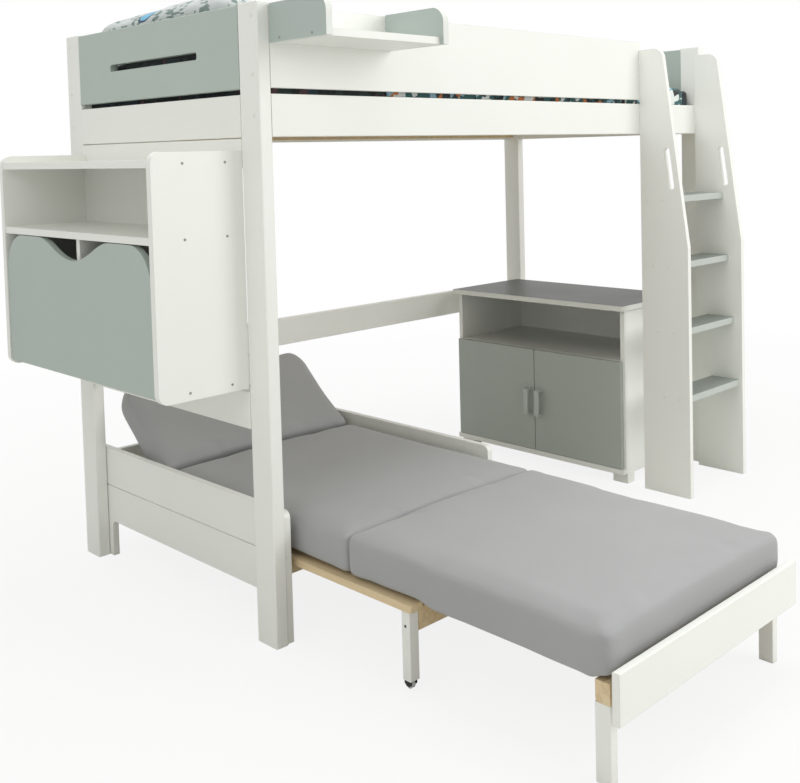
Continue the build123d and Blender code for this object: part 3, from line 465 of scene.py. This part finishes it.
pillowLook = {
    "ground": (205, 209, 208), "shadow": (184, 192, 190), "cloudScale": 16.0, "warp": 0.03,
    "thread": (120, 126, 126), "threadTone": 0.1,
    "stroke": (74, 104, 94), "strokeScale": 85.0, "strokeStretch": (1.0, 0.35, 1.0),
    "strokeTurn": (0.5, 0.3, 0.4), "strokeFrom": 0.53, "cloudFrom": 0.45, "strokeTone": 0.8,
    "patch": (104, 178, 214), "patchIn": (0.0556, 0.4315, 0.191), "patchSize": (0.05, 0.034, 0.02),
    "outline": (38, 62, 84), "outlineSquare": 1.5,
}


def silverCotton():
    # a silver ground with patches of short stretched strokes, and one round patch, set in from
    # the pillow's low corner: its edge is where the square of the distance from its middle, in its
    # own half sizes, passes 1
    cloth = Finish("silverCotton", Sheen_Weight=cottonLook["sheen"], Sheen_Roughness=0.5)
    spots = cloth.axes(warpedPlace(cloth, pillowLook["warp"]))
    cloud = cloth.noise(cloth.place(), pillowLook["cloudScale"])
    strokePlace = cloth.place(pillowLook["strokeStretch"], pillowLook["strokeTurn"])
    streak = cloth.noise(strokePlace, pillowLook["strokeScale"])
    strokes = (streak > pillowLook["strokeFrom"]) * (cloud > pillowLook["cloudFrom"])
    colour = cloth.mix(cloud, shade(*pillowLook["ground"]), shade(*pillowLook["shadow"]))
    strokeShare = strokes * pillowLook["strokeTone"]
    colour = cloth.mix(strokeShare, colour, shade(*pillowLook["stroke"]))
    middles = cornersOf("pillow")[0] + pillowLook["patchIn"] + pillowLook["warp"] / 2
    far = 0.0
    for spot, middle, half in zip(spots, middles.tolist(), pillowLook["patchSize"]):
        step = (spot - middle) / half
        far = far + step * step
    colour = cloth.mix(far < pillowLook["outlineSquare"], colour, shade(*pillowLook["outline"]))
    colour = cloth.mix(far < 1.0, colour, shade(*pillowLook["patch"]))
    thread = cloth.noise(cloth.place(), cottonLook["threadScale"])
    colour = cloth.mix(thread * pillowLook["threadTone"], colour, shade(*pillowLook["thread"]))
    return cloth.finish(colour, cottonLook["roughness"], thread, cottonLook)


greyCloth = wovenGrey()
bedPrint = printedCotton("bedPrint", bedPrintLook)
shadeDarkSheet = printedCotton("shadeDarkSheet", shadeSheetLook)
pillowPrint = silverCotton()


def settle(piece):
    # takes the modifiers' result as the piece's own mesh
    bpy.context.view_layer.update()
    graph = bpy.context.evaluated_depsgraph_get()
    made = bpy.data.meshes.new_from_object(piece.evaluated_get(graph))
    piece.modifiers.clear()
    piece.data = made


def turned(points, angle, pivot):
    # the points turned about a line along X through the pivot
    cosine, sine = math.cos(angle), math.sin(angle)
    y, z = points[:, 1] - pivot[0], points[:, 2] - pivot[1]
    return np.stack(
        [points[:, 0], pivot[0] + y * cosine - z * sine, pivot[1] + y * sine + z * cosine], axis=1
    )


def evened(mesh, points, share, rounds):
    # each point moves by its share towards the mean of its neighbours, round after round, so the
    # edges grow rounder where the share is large
    ends = np.empty(len(mesh.edges) * 2, dtype=np.int32)
    mesh.edges.foreach_get("vertices", ends)
    first, second = ends.reshape(-1, 2).T
    total = len(points)
    joined = np.bincount(first, minlength=total) + np.bincount(second, minlength=total)
    for _ in range(rounds):
        around = np.stack(
            [
                np.bincount(first, points[second, axis], total)
                + np.bincount(second, points[first, axis], total)
                for axis in range(3)
            ],
            axis=1,
        )
        points = points + share[:, None] * (around / joined[:, None] - points)
    return points


def eased(start, stop, value):
    # 0 at start, 1 at stop, level beyond both, and a smooth S between them, whichever is larger
    along = np.clip((value - start) / (stop - start), 0, 1)
    return along * along * (3 - 2 * along)


def fitted(points, low, high, recipe):
    # each axis is spread to the solid's reach; the foot, and the ends that press on another
    # cushion, are spread a little past it and cut flat there
    press = recipe["press"]
    seams = recipe.get("seams", ())
    middle = (low + high) / 2
    first, last = points.min(axis=0), points.max(axis=0)
    made = points.copy()
    reach = np.abs(points[:, 0] - middle[0]).max()
    made[:, 0] = middle[0] + (points[:, 0] - middle[0]) * (high[0] - middle[0]) / reach
    start = low[1] - press * ("low" in seams)
    stop = high[1] + press * ("high" in seams)
    made[:, 1] = start + (points[:, 1] - first[1]) * (stop - start) / (last[1] - first[1])
    rise = (high[2] - middle[2]) / (last[2] - middle[2])
    drop = (middle[2] - low[2] + press) / (middle[2] - first[2])
    height = points[:, 2] - middle[2]
    made[:, 2] = middle[2] + height * np.where(height > 0, rise, drop)
    return np.maximum(np.minimum(made, (np.inf, high[1], np.inf)), (-np.inf, low[1], low[2]))


def shaped(points, low, high, recipe):
    # a far end that thins and narrows, a bend that is a parabola along the pad, a top that falls
    # towards both ends, and edges that droop where nothing carries them
    middle = (low + high) / 2
    made = points.copy()
    along = (points[:, 1] - low[1]) / (high[1] - low[1])
    if recipe.get("outerEnd") == "low":
        along = 1 - along
    if "thinner" in recipe:
        taper = eased(recipe["taperFrom"], 1.0, along)
        made[:, 2] -= recipe["thinner"] * taper * (points[:, 2] - low[2])
        made[:, 0] -= recipe.get("narrower", 0.0) * taper * taper * (points[:, 0] - middle[0])
    made[:, 2] -= recipe.get("bend", 0.0) * (1 - (2 * along - 1) ** 2)
    if "slope" in recipe:
        slope = recipe["slope"]
        fall = slope["far"] * eased(slope["farFrom"], 1.0, along)
        fall += slope["near"] * eased(slope["nearFrom"], 0.0, along)
        made[:, 2] -= fall * np.maximum(points[:, 2] - low[2] - slope["foot"], 0)
    if "droop" in recipe:
        droop = recipe["droop"]
        halfWidth = (high[0] - low[0]) / 2
        outside = eased(droop["inner"], halfWidth, np.abs(points[:, 0] - middle[0]))
        inward = points[:, 1] - low[1]
        span = eased(droop["start"], droop["start"] + droop["startFade"], inward)
        span *= 1 - eased(droop["stop"] - droop["stopFade"], droop["stop"], inward)
        upShare = np.clip((points[:, 2] - low[2]) / (high[2] - low[2]), 0, 1)
        made[:, 2] -= droop["depth"] * outside * span * (1 - droop["topShare"] * upShare)
    return made


filling = {"quality": 4, "mass": 0.3, "frames": 20}
smoothing = {"share": 0.5, "seamShare": 0.6, "seamReach": 0.05, "movedRounds": 6}


def blownUp(piece, recipe):
    # a cloth simulation under even pressure, without weight, whose last frame is kept
    cloth = piece.modifiers.new("filling", "CLOTH")
    cloth.settings.quality = filling["quality"]
    cloth.settings.mass = filling["mass"]
    cloth.settings.use_pressure = True
    cloth.settings.uniform_pressure_force = recipe["pressure"]
    cloth.settings.effector_weights.gravity = 0
    cloth.settings.tension_stiffness = recipe["stiffness"]
    cloth.settings.compression_stiffness = recipe["stiffness"]
    cloth.collision_settings.use_collision = False
    cloth.point_cache.frame_start = 1
    cloth.point_cache.frame_end = filling["frames"]
    for step in range(1, filling["frames"] + 1):
        bpy.context.scene.frame_set(step)
    settle(piece)
    bpy.context.scene.frame_set(1)


def stuffed(name, source, recipe, material, body):
    # the CAD solid is drawn in, remeshed and evened, then blown up gently by a cloth simulation
    # with a cap on how far a point moves, fitted to the solid again and shaped
    mesh = nodes[source].data.copy()
    piece = bpy.data.objects.new(name, mesh)
    bpy.context.scene.collection.objects.link(piece)
    tool = bmesh.new()
    tool.from_mesh(mesh)
    bmesh.ops.remove_doubles(tool, verts=tool.verts, dist=cadMergeReach)
    tool.to_mesh(mesh)
    tool.free()
    lean, pivot = recipe.get("lean", 0.0), recipe.get("pivot", (0.0, 0.0))
    points = turned(readPoints(mesh), -lean, pivot)
    low, high = points.min(axis=0), points.max(axis=0)
    middle, half = (low + high) / 2, (high - low) / 2
    writePoints(mesh, middle + (points - middle) * (1 - np.array(recipe["drawIn"]) / half))
    grid = piece.modifiers.new("grid", "REMESH")
    grid.mode = "VOXEL"
    grid.voxel_size = recipe["voxel"]
    settle(piece)
    start = readPoints(piece.data)
    evenShare = np.full(len(start), smoothing["share"])
    free = evenShare.copy()
    held = smoothing["seamShare"]
    for end in recipe.get("seams", ()):
        seam = low[1] if end == "low" else high[1]
        free *= held + (1 - held) * eased(0.0, smoothing["seamReach"], np.abs(start[:, 1] - seam))
    start = evened(piece.data, start, free, recipe["rounds"])
    writePoints(piece.data, start)
    blownUp(piece, recipe)
    moved = readPoints(piece.data) - start
    moved = evened(piece.data, moved, evenShare, smoothing["movedRounds"])
    reach = np.linalg.norm(moved, axis=1, keepdims=True)
    moved *= recipe["cap"] / np.maximum(reach, recipe["cap"])
    kept = fitted(start + moved, low, high, recipe)
    kept = shaped(kept, low, high, recipe)
    writePoints(piece.data, turned(kept, lean, pivot))
    piece.data.materials.clear()
    piece.data.materials.append(material)
    piece.data.polygons.foreach_set("use_smooth", [True] * len(piece.data.polygons))
    finer = piece.modifiers.new("finer", "SUBSURF")
    finer.levels = finer.render_levels = 1
    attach(piece, body)
    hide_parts(source)
    print("stuffed", name, len(piece.data.vertices), "points")
    return piece


seatPad = {"voxel": 0.008, "drawIn": (0.004, 0.001, 0.004), "rounds": 14, "pressure": 4,
           "stiffness": 15, "cap": 0.01, "press": 0.0015, "fill": 0.9, "seams": ("low", "high"),
           "taperFrom": 0.72}
frontDroop = {"inner": 0.28, "depth": 0.014, "topShare": 0.6, "start": 0.0215,
              "startFade": 0.035, "stop": 0.5265, "stopFade": 0.06}
frontPad = dict(seatPad, rounds=7, seams=("high",), outerEnd="low", thinner=0.04, droop=frontDroop)
backHinge = next(joint for joint in frame["joints"] if joint["name"] == "back_cushion_tilt")
backPad = dict(seatPad, rounds=18, seams=("low",), lean=math.radians(40),
               pivot=backHinge["pos_m"][1:], thinner=0.04, narrower=0.07, bend=0.009)
pillowSlope = {"foot": 0.044, "far": 0.14, "farFrom": 0.45, "near": 0.08, "nearFrom": 0.3}
pillowPad = {"voxel": 0.007, "drawIn": (0.006, 0.004, 0.005), "rounds": 10, "pressure": 3,
             "stiffness": 8, "cap": 0.014, "press": 0.0, "fill": 0.7, "slope": pillowSlope}
stuffed("softSeat", "seat_cushion", seatPad, greyCloth, "seat")
stuffed("softFront", "front_cushion", frontPad, greyCloth, "front")
stuffed("softBack", "back_cushion", backPad, greyCloth, "back")
stuffed("softPillow", "pillow", pillowPad, pillowPrint, "bed")

mattressLook = {"corner": 0.01, "edge": 0.014, "around": 220, "flatSteps": 14, "bendSteps": 9,
                "sideSteps": 5}


def roundedOutline(halfLength, halfWidth, corner, turns):
    # points round a rectangle with round corners: the middle third of each quarter turns round a
    # corner, and the outer thirds run along the straight sides
    quarter = turns / (math.pi / 2)
    side = np.floor(quarter) % 4
    along = quarter - np.floor(quarter)
    signX = np.where((side == 0) | (side == 3), 1.0, -1.0)
    signY = np.where(side < 2, 1.0, -1.0)
    innerX, innerY = halfLength - corner, halfWidth - corner
    towards = np.clip((along - 1 / 3) * 3, 0, 1) * math.pi / 2 + side * math.pi / 2
    runIn = np.clip(along * 3, 0, 1)
    runOut = np.clip(along * 3 - 2, 0, 1)
    even = side % 2 == 0
    x = np.where(even, innerX * (1 - runOut), innerX * runIn)
    y = np.where(even, innerY * runIn, innerY * (1 - runOut))
    return signX * x + corner * np.cos(towards), signY * y + corner * np.sin(towards)


def bedMattress():
    # a profile with round edges, from the middle of the underside to the middle of the top,
    # carried round a rectangle with round corners
    low, high = cornersOf("mattress")
    middle, half = (low + high) / 2, (high - low) / 2
    edge, corner, thick = mattressLook["edge"], mattressLook["corner"], 2 * half[2]
    turns = np.linspace(0, 2 * math.pi, mattressLook["around"], endpoint=False)
    flat = np.linspace(0, 1, mattressLook["flatSteps"])
    bend = np.linspace(0, math.pi / 2, mattressLook["bendSteps"])
    side = np.linspace(0, 1, mattressLook["sideSteps"] + 2)[1:-1]
    inset = np.concatenate([edge + 0 * flat, edge * (1 - np.sin(bend)), 0 * side,
                            edge * (1 - np.cos(bend)), edge + 0 * flat])
    share = np.concatenate([flat, 1 + 0 * bend, 1 + 0 * side, 1 + 0 * bend, flat[::-1]])
    rise = np.concatenate([0 * flat, edge * (1 - np.cos(bend)), edge + (thick - 2 * edge) * side,
                           thick - edge * (1 - np.sin(bend)), thick + 0 * flat])
    x, y = roundedOutline(half[0] - edge, half[1] - edge, corner, turns)
    outX, outY = roundedOutline(half[0], half[1], corner + edge, turns)
    reach = (edge - inset[:, None]) / edge
    share = share[:, None]
    atRim = share == 1
    points = np.stack(
        [
            share * x + reach * (outX - x) * atRim,
            share * y + reach * (outY - y) * atRim,
            rise[:, None] + 0 * x,
        ],
        axis=-1,
    )
    points = points + middle * (1, 1, 0) + (0, 0, low[2])
    faces = gridFaces(len(rise), len(turns), True)
    # the near-black cover is painted shade: the mattress shows only in shaded gaps
    piece = newPiece("bedMattress", points, faces, shadeDarkSheet, "bed")
    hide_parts("mattress")


bedMattress()

shadePillowLook = {"front": 0.036, "depth": 0.21, "height": 0.08, "width": 0.79, "lift": 0.001,
                   "acrossPower": 0.75, "risePower": 0.8, "fall": 0.25, "rows": 60, "columns": 72}


def shadePillow():
    # a flat second pillow under the leaning one: a superellipse across, carried along Y, whose
    # size falls off at both ends as the fourth root of 1 minus the fourth power of the place
    low, high = cornersOf("mattress")
    panel = cornersOf("head_panel")[0][0]
    rows, columns = shadePillowLook["rows"], shadePillowLook["columns"]
    along = np.sin(np.linspace(-math.pi / 2, math.pi / 2, rows))[:, None]
    turns = np.linspace(0, 2 * math.pi, columns, endpoint=False)[None, :]
    size = (1 - along**4) ** 0.25
    cosine, sine = np.cos(turns), np.sin(turns)
    across = np.sign(cosine) * np.abs(cosine) ** shadePillowLook["acrossPower"]
    rise = np.sign(sine) * np.abs(sine) ** shadePillowLook["risePower"]
    halfDepth, halfHeight = shadePillowLook["depth"] / 2, shadePillowLook["height"] / 2
    slope = 1 - shadePillowLook["fall"] * (across + 1) * (rise > 0)
    points = np.stack(
        [
            panel + shadePillowLook["front"] + halfDepth * (1 + size * across),
            (low[1] + high[1]) / 2 + shadePillowLook["width"] / 2 * along + 0 * turns,
            high[2] + shadePillowLook["lift"] + halfHeight * (1 + size * rise * slope),
        ],
        axis=-1,
    )
    faces = gridFaces(rows, columns, True)
    # the near-black cover is painted shade for the shaded space under the leaning pillow
    piece = newPiece("shadePillow", points, faces, shadeDarkSheet, "bed")


shadePillow()
print("mattress and lower pillow made")

duvetLook = {"thickness": 0.014, "sideThickness": 0.009, "gap": 0.0008, "shoulder": 0.018,
             "crown": 0.022, "crownPower": 0.6, "fadePower": 6, "wave": 0.006, "waveScale": 3,
             "waveFirst": 1.3, "waveStep": 0.5, "waveSum": 3, "dip": 0.002, "endRound": 0.05,
             "sideRound": 0.012, "rows": 250, "columns": 180}
foldWaves = [  # rates along and across, and phase
    (9.1, 2.3, 0.4), (5.2, -7.7, 1.9), (14.3, 6.1, 4.4), (-11.7, 12.9, 2.6),
    (21.0, -16.0, 0.9), (3.1, 19.5, 5.3), (33.0, 8.0, 1.1),
]


def softFolds(along, across, reach):
    # a sum of long waves that cross the cloth at several angles, each weaker than the one before
    total = 0 * along
    for rank, (perX, perY, phase) in enumerate(foldWaves):
        weakness = duvetLook["waveFirst"] + duvetLook["waveStep"] * rank
        total = total + np.sin(perX * along + perY * across + phase) / weakness
    return reach * total / duvetLook["waveSum"]


def quarterRound(share):
    # the height of a quarter circle, from 0 at its foot to 1 at its top
    return np.sqrt(np.clip(1 - (1 - share) ** 2, 0, 1))


def topDuvet():
    # the line across runs from the middle of the bed over the top, round a quarter circle at the
    # shoulder and down the side; an outer and an inner sheet stand off it and meet at the rim
    low, high = cornersOf("duvet")
    top = cornersOf("mattress")[1][2]
    middleY, halfWidth = (low[1] + high[1]) / 2, (high[1] - low[1]) / 2
    length = high[0] - low[0]
    side, bend = duvetLook["sideThickness"], duvetLook["shoulder"]
    rows, columns = duvetLook["rows"], duvetLook["columns"]
    along = np.linspace(0, 1, rows)[:, None]
    across = np.linspace(-1, 1, columns)[None, :]
    straight = halfWidth - side / 2 - bend
    arc = bend * math.pi / 2
    total = straight + arc + top - low[2] - bend
    run = np.abs(across) * total
    turn = np.clip((run - straight) / bend, 0, math.pi / 2)
    down = np.clip(run - straight - arc, 0, None)
    lineY = np.sign(across) * (np.minimum(run, straight) + bend * np.sin(turn))
    lineZ = top + duvetLook["gap"] + side / 2 - bend * (1 - np.cos(turn)) - down
    outY, outZ = np.sign(across) * np.sin(turn), np.cos(turn)
    x = low[0] + length * along + 0 * across
    crown = np.clip(1 - run / straight, 0, 1) ** duvetLook["crownPower"]
    fade = np.clip(1 - (run / straight) ** duvetLook["fadePower"], 0, 1)
    endRim = np.minimum(np.minimum(along, 1 - along) * length / duvetLook["endRound"], 1)
    sideRim = np.minimum((total - run) / duvetLook["sideRound"], 1)
    puff = quarterRound(endRim) * quarterRound(sideRim)
    waveScale = duvetLook["waveScale"]
    folds = softFolds(x * waveScale, lineY * waveScale + 0 * x, duvetLook["wave"])
    lift = fade * (duvetLook["thickness"] - side + duvetLook["crown"] * crown + folds)
    outer = puff * (side / 2 + np.clip(lift, -duvetLook["dip"], None))
    inner = -puff * side / 2 + 0 * x
    sheets = []
    for offset in (outer, inner):
        sheet = np.stack([x, middleY + lineY + outY * offset, lineZ + outZ * offset], axis=-1)
        sheets.append(sheet.reshape(-1, 3))
    faces = gridFaces(rows, columns)
    faces = np.concatenate([faces, faces[:, ::-1] + rows * columns])
    piece = newPiece("topDuvet", np.concatenate(sheets), faces, bedPrint, "bed")
    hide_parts("duvet")


topDuvet()
print("duvet laid")

plugLook = {"radius": 0.005, "proud": 0.0011, "around": 28}
screwLook = {"radius": 0.0032, "proud": 0.0011, "around": 24}
screwPlaces = {"margin": 0.003, "stileReach": 0.1, "legDrop": 0.036, "cabinetIn": 0.08,
               "cabinetDrop": 0.012}


def capPlaces():
    # low corner, high corner and thinnest axis of each small disc of the CAD node
    mesh = nodes["screw_caps"].data
    tool = bmesh.new()
    tool.from_mesh(mesh)
    bmesh.ops.remove_doubles(tool, verts=tool.verts, dist=mergeReach)
    left, places = set(tool.verts), []
    while left:
        stack, island = [left.pop()], []
        while stack:
            vertex = stack.pop()
            island.append(tuple(vertex.co))
            for link in vertex.link_edges:
                other = link.other_vert(vertex)
                if other in left:
                    left.discard(other)
                    stack.append(other)
        cloud = np.array(island)
        low, high = cloud.min(axis=0), cloud.max(axis=0)
        places.append((low, high, int(np.argmin(high - low))))
    tool.free()
    return sorted(places, key=lambda spot: [round(float(v), 4) for v in spot[0]])


def discs(name, places, look, shares, material, body):
    # one small profile of radius and height, in shares, spun about each place's axis
    turns = np.linspace(0, 2 * math.pi, look["around"], endpoint=False)
    radius, height = (np.array(shares) * (look["radius"], look["proud"])).T
    points, faces = [], []
    for order, (foot, axis, sign) in enumerate(places):
        first, second = [i for i in range(3) if i != axis]
        ring = np.zeros((len(radius), len(turns), 3))
        ring[..., first] = foot[first] + radius[:, None] * np.cos(turns)
        ring[..., second] = foot[second] + radius[:, None] * np.sin(turns)
        ring[..., axis] = foot[axis] + sign * height[:, None]
        points.append(ring.reshape(-1, 3))
        faces.append(gridFaces(len(radius), len(turns), True) + order * ring.size // 3)
    return newPiece(name, np.concatenate(points), np.concatenate(faces), material, body)


domeShares = [(0, 0), (1, 0), (1, 0.5), (0.93, 0.86), (0.8, 1), (0, 1)]
headShares = [(0, 0), (1, 0), (1, 0.6), (0.86, 1), (0.47, 1), (0.38, 0.25), (0, 0.2)]


def within(spot, low, high):
    margin = screwPlaces["margin"]
    return np.all(spot > low - margin) and np.all(spot < high + margin)


def fastenings():
    # screws on the hutch and the brackets, plugs elsewhere; each looks away from its own board
    plugs, screws = [], []
    hutchLow, hutchHigh = cornersOf("hutch_sides")
    bracketLow, bracketHigh = cornersOf("shelf_brackets")
    ladderX = cornersOf("ladder_treads")[0][0] + screwPlaces["stileReach"]
    postX = cornersOf("post_front_right")[0][0]
    for low, high, axis in capPlaces():
        middle = (low + high) / 2
        inHutch = within(middle, hutchLow, hutchHigh)
        inBracket = within(middle, bracketLow, bracketHigh)
        board = np.zeros(3)
        if inHutch:
            board = (hutchLow + hutchHigh) / 2
        if inBracket:
            board = (bracketLow + bracketHigh) / 2
        outward = middle[axis] > board[axis]
        if not inHutch and not inBracket and abs(middle[0]) < postX:
            outward = middle[0] > ladderX
        foot = middle.copy()
        foot[axis] = low[axis] if outward else high[axis]
        (screws if inHutch or inBracket else plugs).append((foot, axis, 1 if outward else -1))
    caps = discs("capPlugs", plugs, plugLook, domeShares, plugWhite, "bed")
    heads = discs("screwHeads", screws, screwLook, headShares, screwGrey, "bed")
    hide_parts("screw_caps")
    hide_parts("screw_caps")
    low, high = cornersOf("middle_legs")
    middleY, height = (low[1] + high[1]) / 2, high[2] - screwPlaces["legDrop"]
    legs = [((low[0], middleY, height), 0, -1), ((high[0], middleY, height), 0, 1)]
    discs("legScrews", legs, screwLook, headShares, screwDark, "middle_frame")
    inner = cornersOf("cabinet_shelf")[1][1]
    sideLow, sideHigh = cornersOf("cabinet_sides")
    place = (sideLow[0] + screwPlaces["cabinetIn"], inner, sideHigh[2] - screwPlaces["cabinetDrop"])
    discs("cabinetScrew", [(place, 1, -1)], screwLook, headShares, screwDark, "bed")
    print("plugs", len(plugs), "screws", len(screws))


fastenings()

plainWhite = (1, 1, 1, 1)
stageLook = {"floor": (228, 228, 225), "roughness": 0.9, "reach": 14.0, "near": 1.7, "far": 4.2,
             "white": 0.85}


def paleFloor():
    # a plain floor that the camera sees whiter with the distance from the object, up to plain
    # white, so no horizon shows
    reach = stageLook["reach"]
    corners = [(-reach, -reach, 0), (reach, -reach, 0), (reach, reach, 0), (-reach, reach, 0)]
    mesh = bpy.data.meshes.new("floor")
    mesh.from_pydata(corners, [], [(0, 1, 2, 3)])
    floor = bpy.data.objects.new("floor", mesh)
    bpy.context.scene.collection.objects.link(floor)
    tone = shade(*stageLook["floor"])
    pale = Finish("paleFloor", Base_Color=tone, Roughness=stageLook["roughness"])
    glow = pale.add("ShaderNodeEmission", {}, {"Color": plainWhite, "Strength": 1.0})
    path = pale.add("ShaderNodeLightPath", out="Is Camera Ray")
    distance = pale.add("ShaderNodeVectorMath", {"operation": "LENGTH"}, {0: pale.place()}, out=1)
    away = (distance - stageLook["near"]) / (stageLook["far"] - stageLook["near"])
    away = away.atLeast(0.0).atMost(1.0)
    share = path * (stageLook["white"] + away * (1 - stageLook["white"]))
    body = Wire(pale, pale.shader.outputs[0])
    blend = pale.add("ShaderNodeMixShader", {}, {0: share, 1: body, 2: glow})
    pale.feed(blend, pale.tree.nodes["Material Output"].inputs["Surface"])
    mesh.materials.append(pale.material)


skyLook = {"colour": (1.0, 1.0, 0.985, 1), "strength": 0.6}


def softSky():
    # an even sky lights the object, and the camera and reflections see plain white
    world = bpy.data.worlds.new("softSky")
    bpy.context.scene.world = world
    world.use_nodes = True
    sky = Board(world.node_tree)
    dome = sky.add(
        "ShaderNodeBackground", {}, {"Color": skyLook["colour"], "Strength": skyLook["strength"]}
    )
    white = sky.add("ShaderNodeBackground", {}, {"Color": plainWhite, "Strength": 1.0})
    camera = sky.add("ShaderNodeLightPath", out="Is Camera Ray")
    glossy = Wire(sky, camera.socket.node.outputs["Is Glossy Ray"])
    choose = sky.add("ShaderNodeMixShader", {}, {0: camera.atLeast(glossy), 1: dome, 2: white})
    sky.feed(choose, sky.tree.nodes["World Output"].inputs["Surface"])


lamps = {  # place, what it points at, size in metres and power in watts
    "frontLamp": ((2.2, -4.6, 2.9), (0.0, -0.2, 0.8), 3.0, 113),
    "sideLamp": ((-4.0, -0.9, 3.5), (-0.6, 0.2, 1.2), 2.6, 26),
    "topLamp": ((0.0, 0.3, 4.4), (0.0, 0.1, 0.6), 2.4, 75),
}


def setLamps():
    for name, (place, target, size, power) in lamps.items():
        light = bpy.data.lights.new(name, "AREA")
        light.energy = power
        light.size = size
        lamp = bpy.data.objects.new(name, light)
        bpy.context.scene.collection.objects.link(lamp)
        lamp.location = place
        aim = [t - p for t, p in zip(target, place)]
        flat = math.hypot(aim[0], aim[1])
        lamp.rotation_euler = (math.atan2(flat, -aim[2]), 0, math.atan2(-aim[0], aim[1]))


photoCamera = {
    "place": (-2.30920, -2.03528, 1.18522),
    "turn": (1.520167, 0.023066, -0.807359),
    "lens": 46.992,
    "sensor": 36,
    "shift": (-0.07794, -0.23500),
    "clip": (0.05, 60),
}


def setCamera():
    camera = bpy.data.cameras.new("photoCamera")
    camera.lens = photoCamera["lens"]
    camera.sensor_width = photoCamera["sensor"]
    camera.shift_x, camera.shift_y = photoCamera["shift"]
    camera.clip_start, camera.clip_end = photoCamera["clip"]
    holder = bpy.data.objects.new("photoCamera", camera)
    bpy.context.scene.collection.objects.link(holder)
    holder.location = photoCamera["place"]
    holder.rotation_euler = photoCamera["turn"]
    bpy.context.scene.camera = holder


paleFloor()
softSky()
setLamps()
setCamera()
bpy.context.scene.view_settings.view_transform = "Standard"
print("stage set")
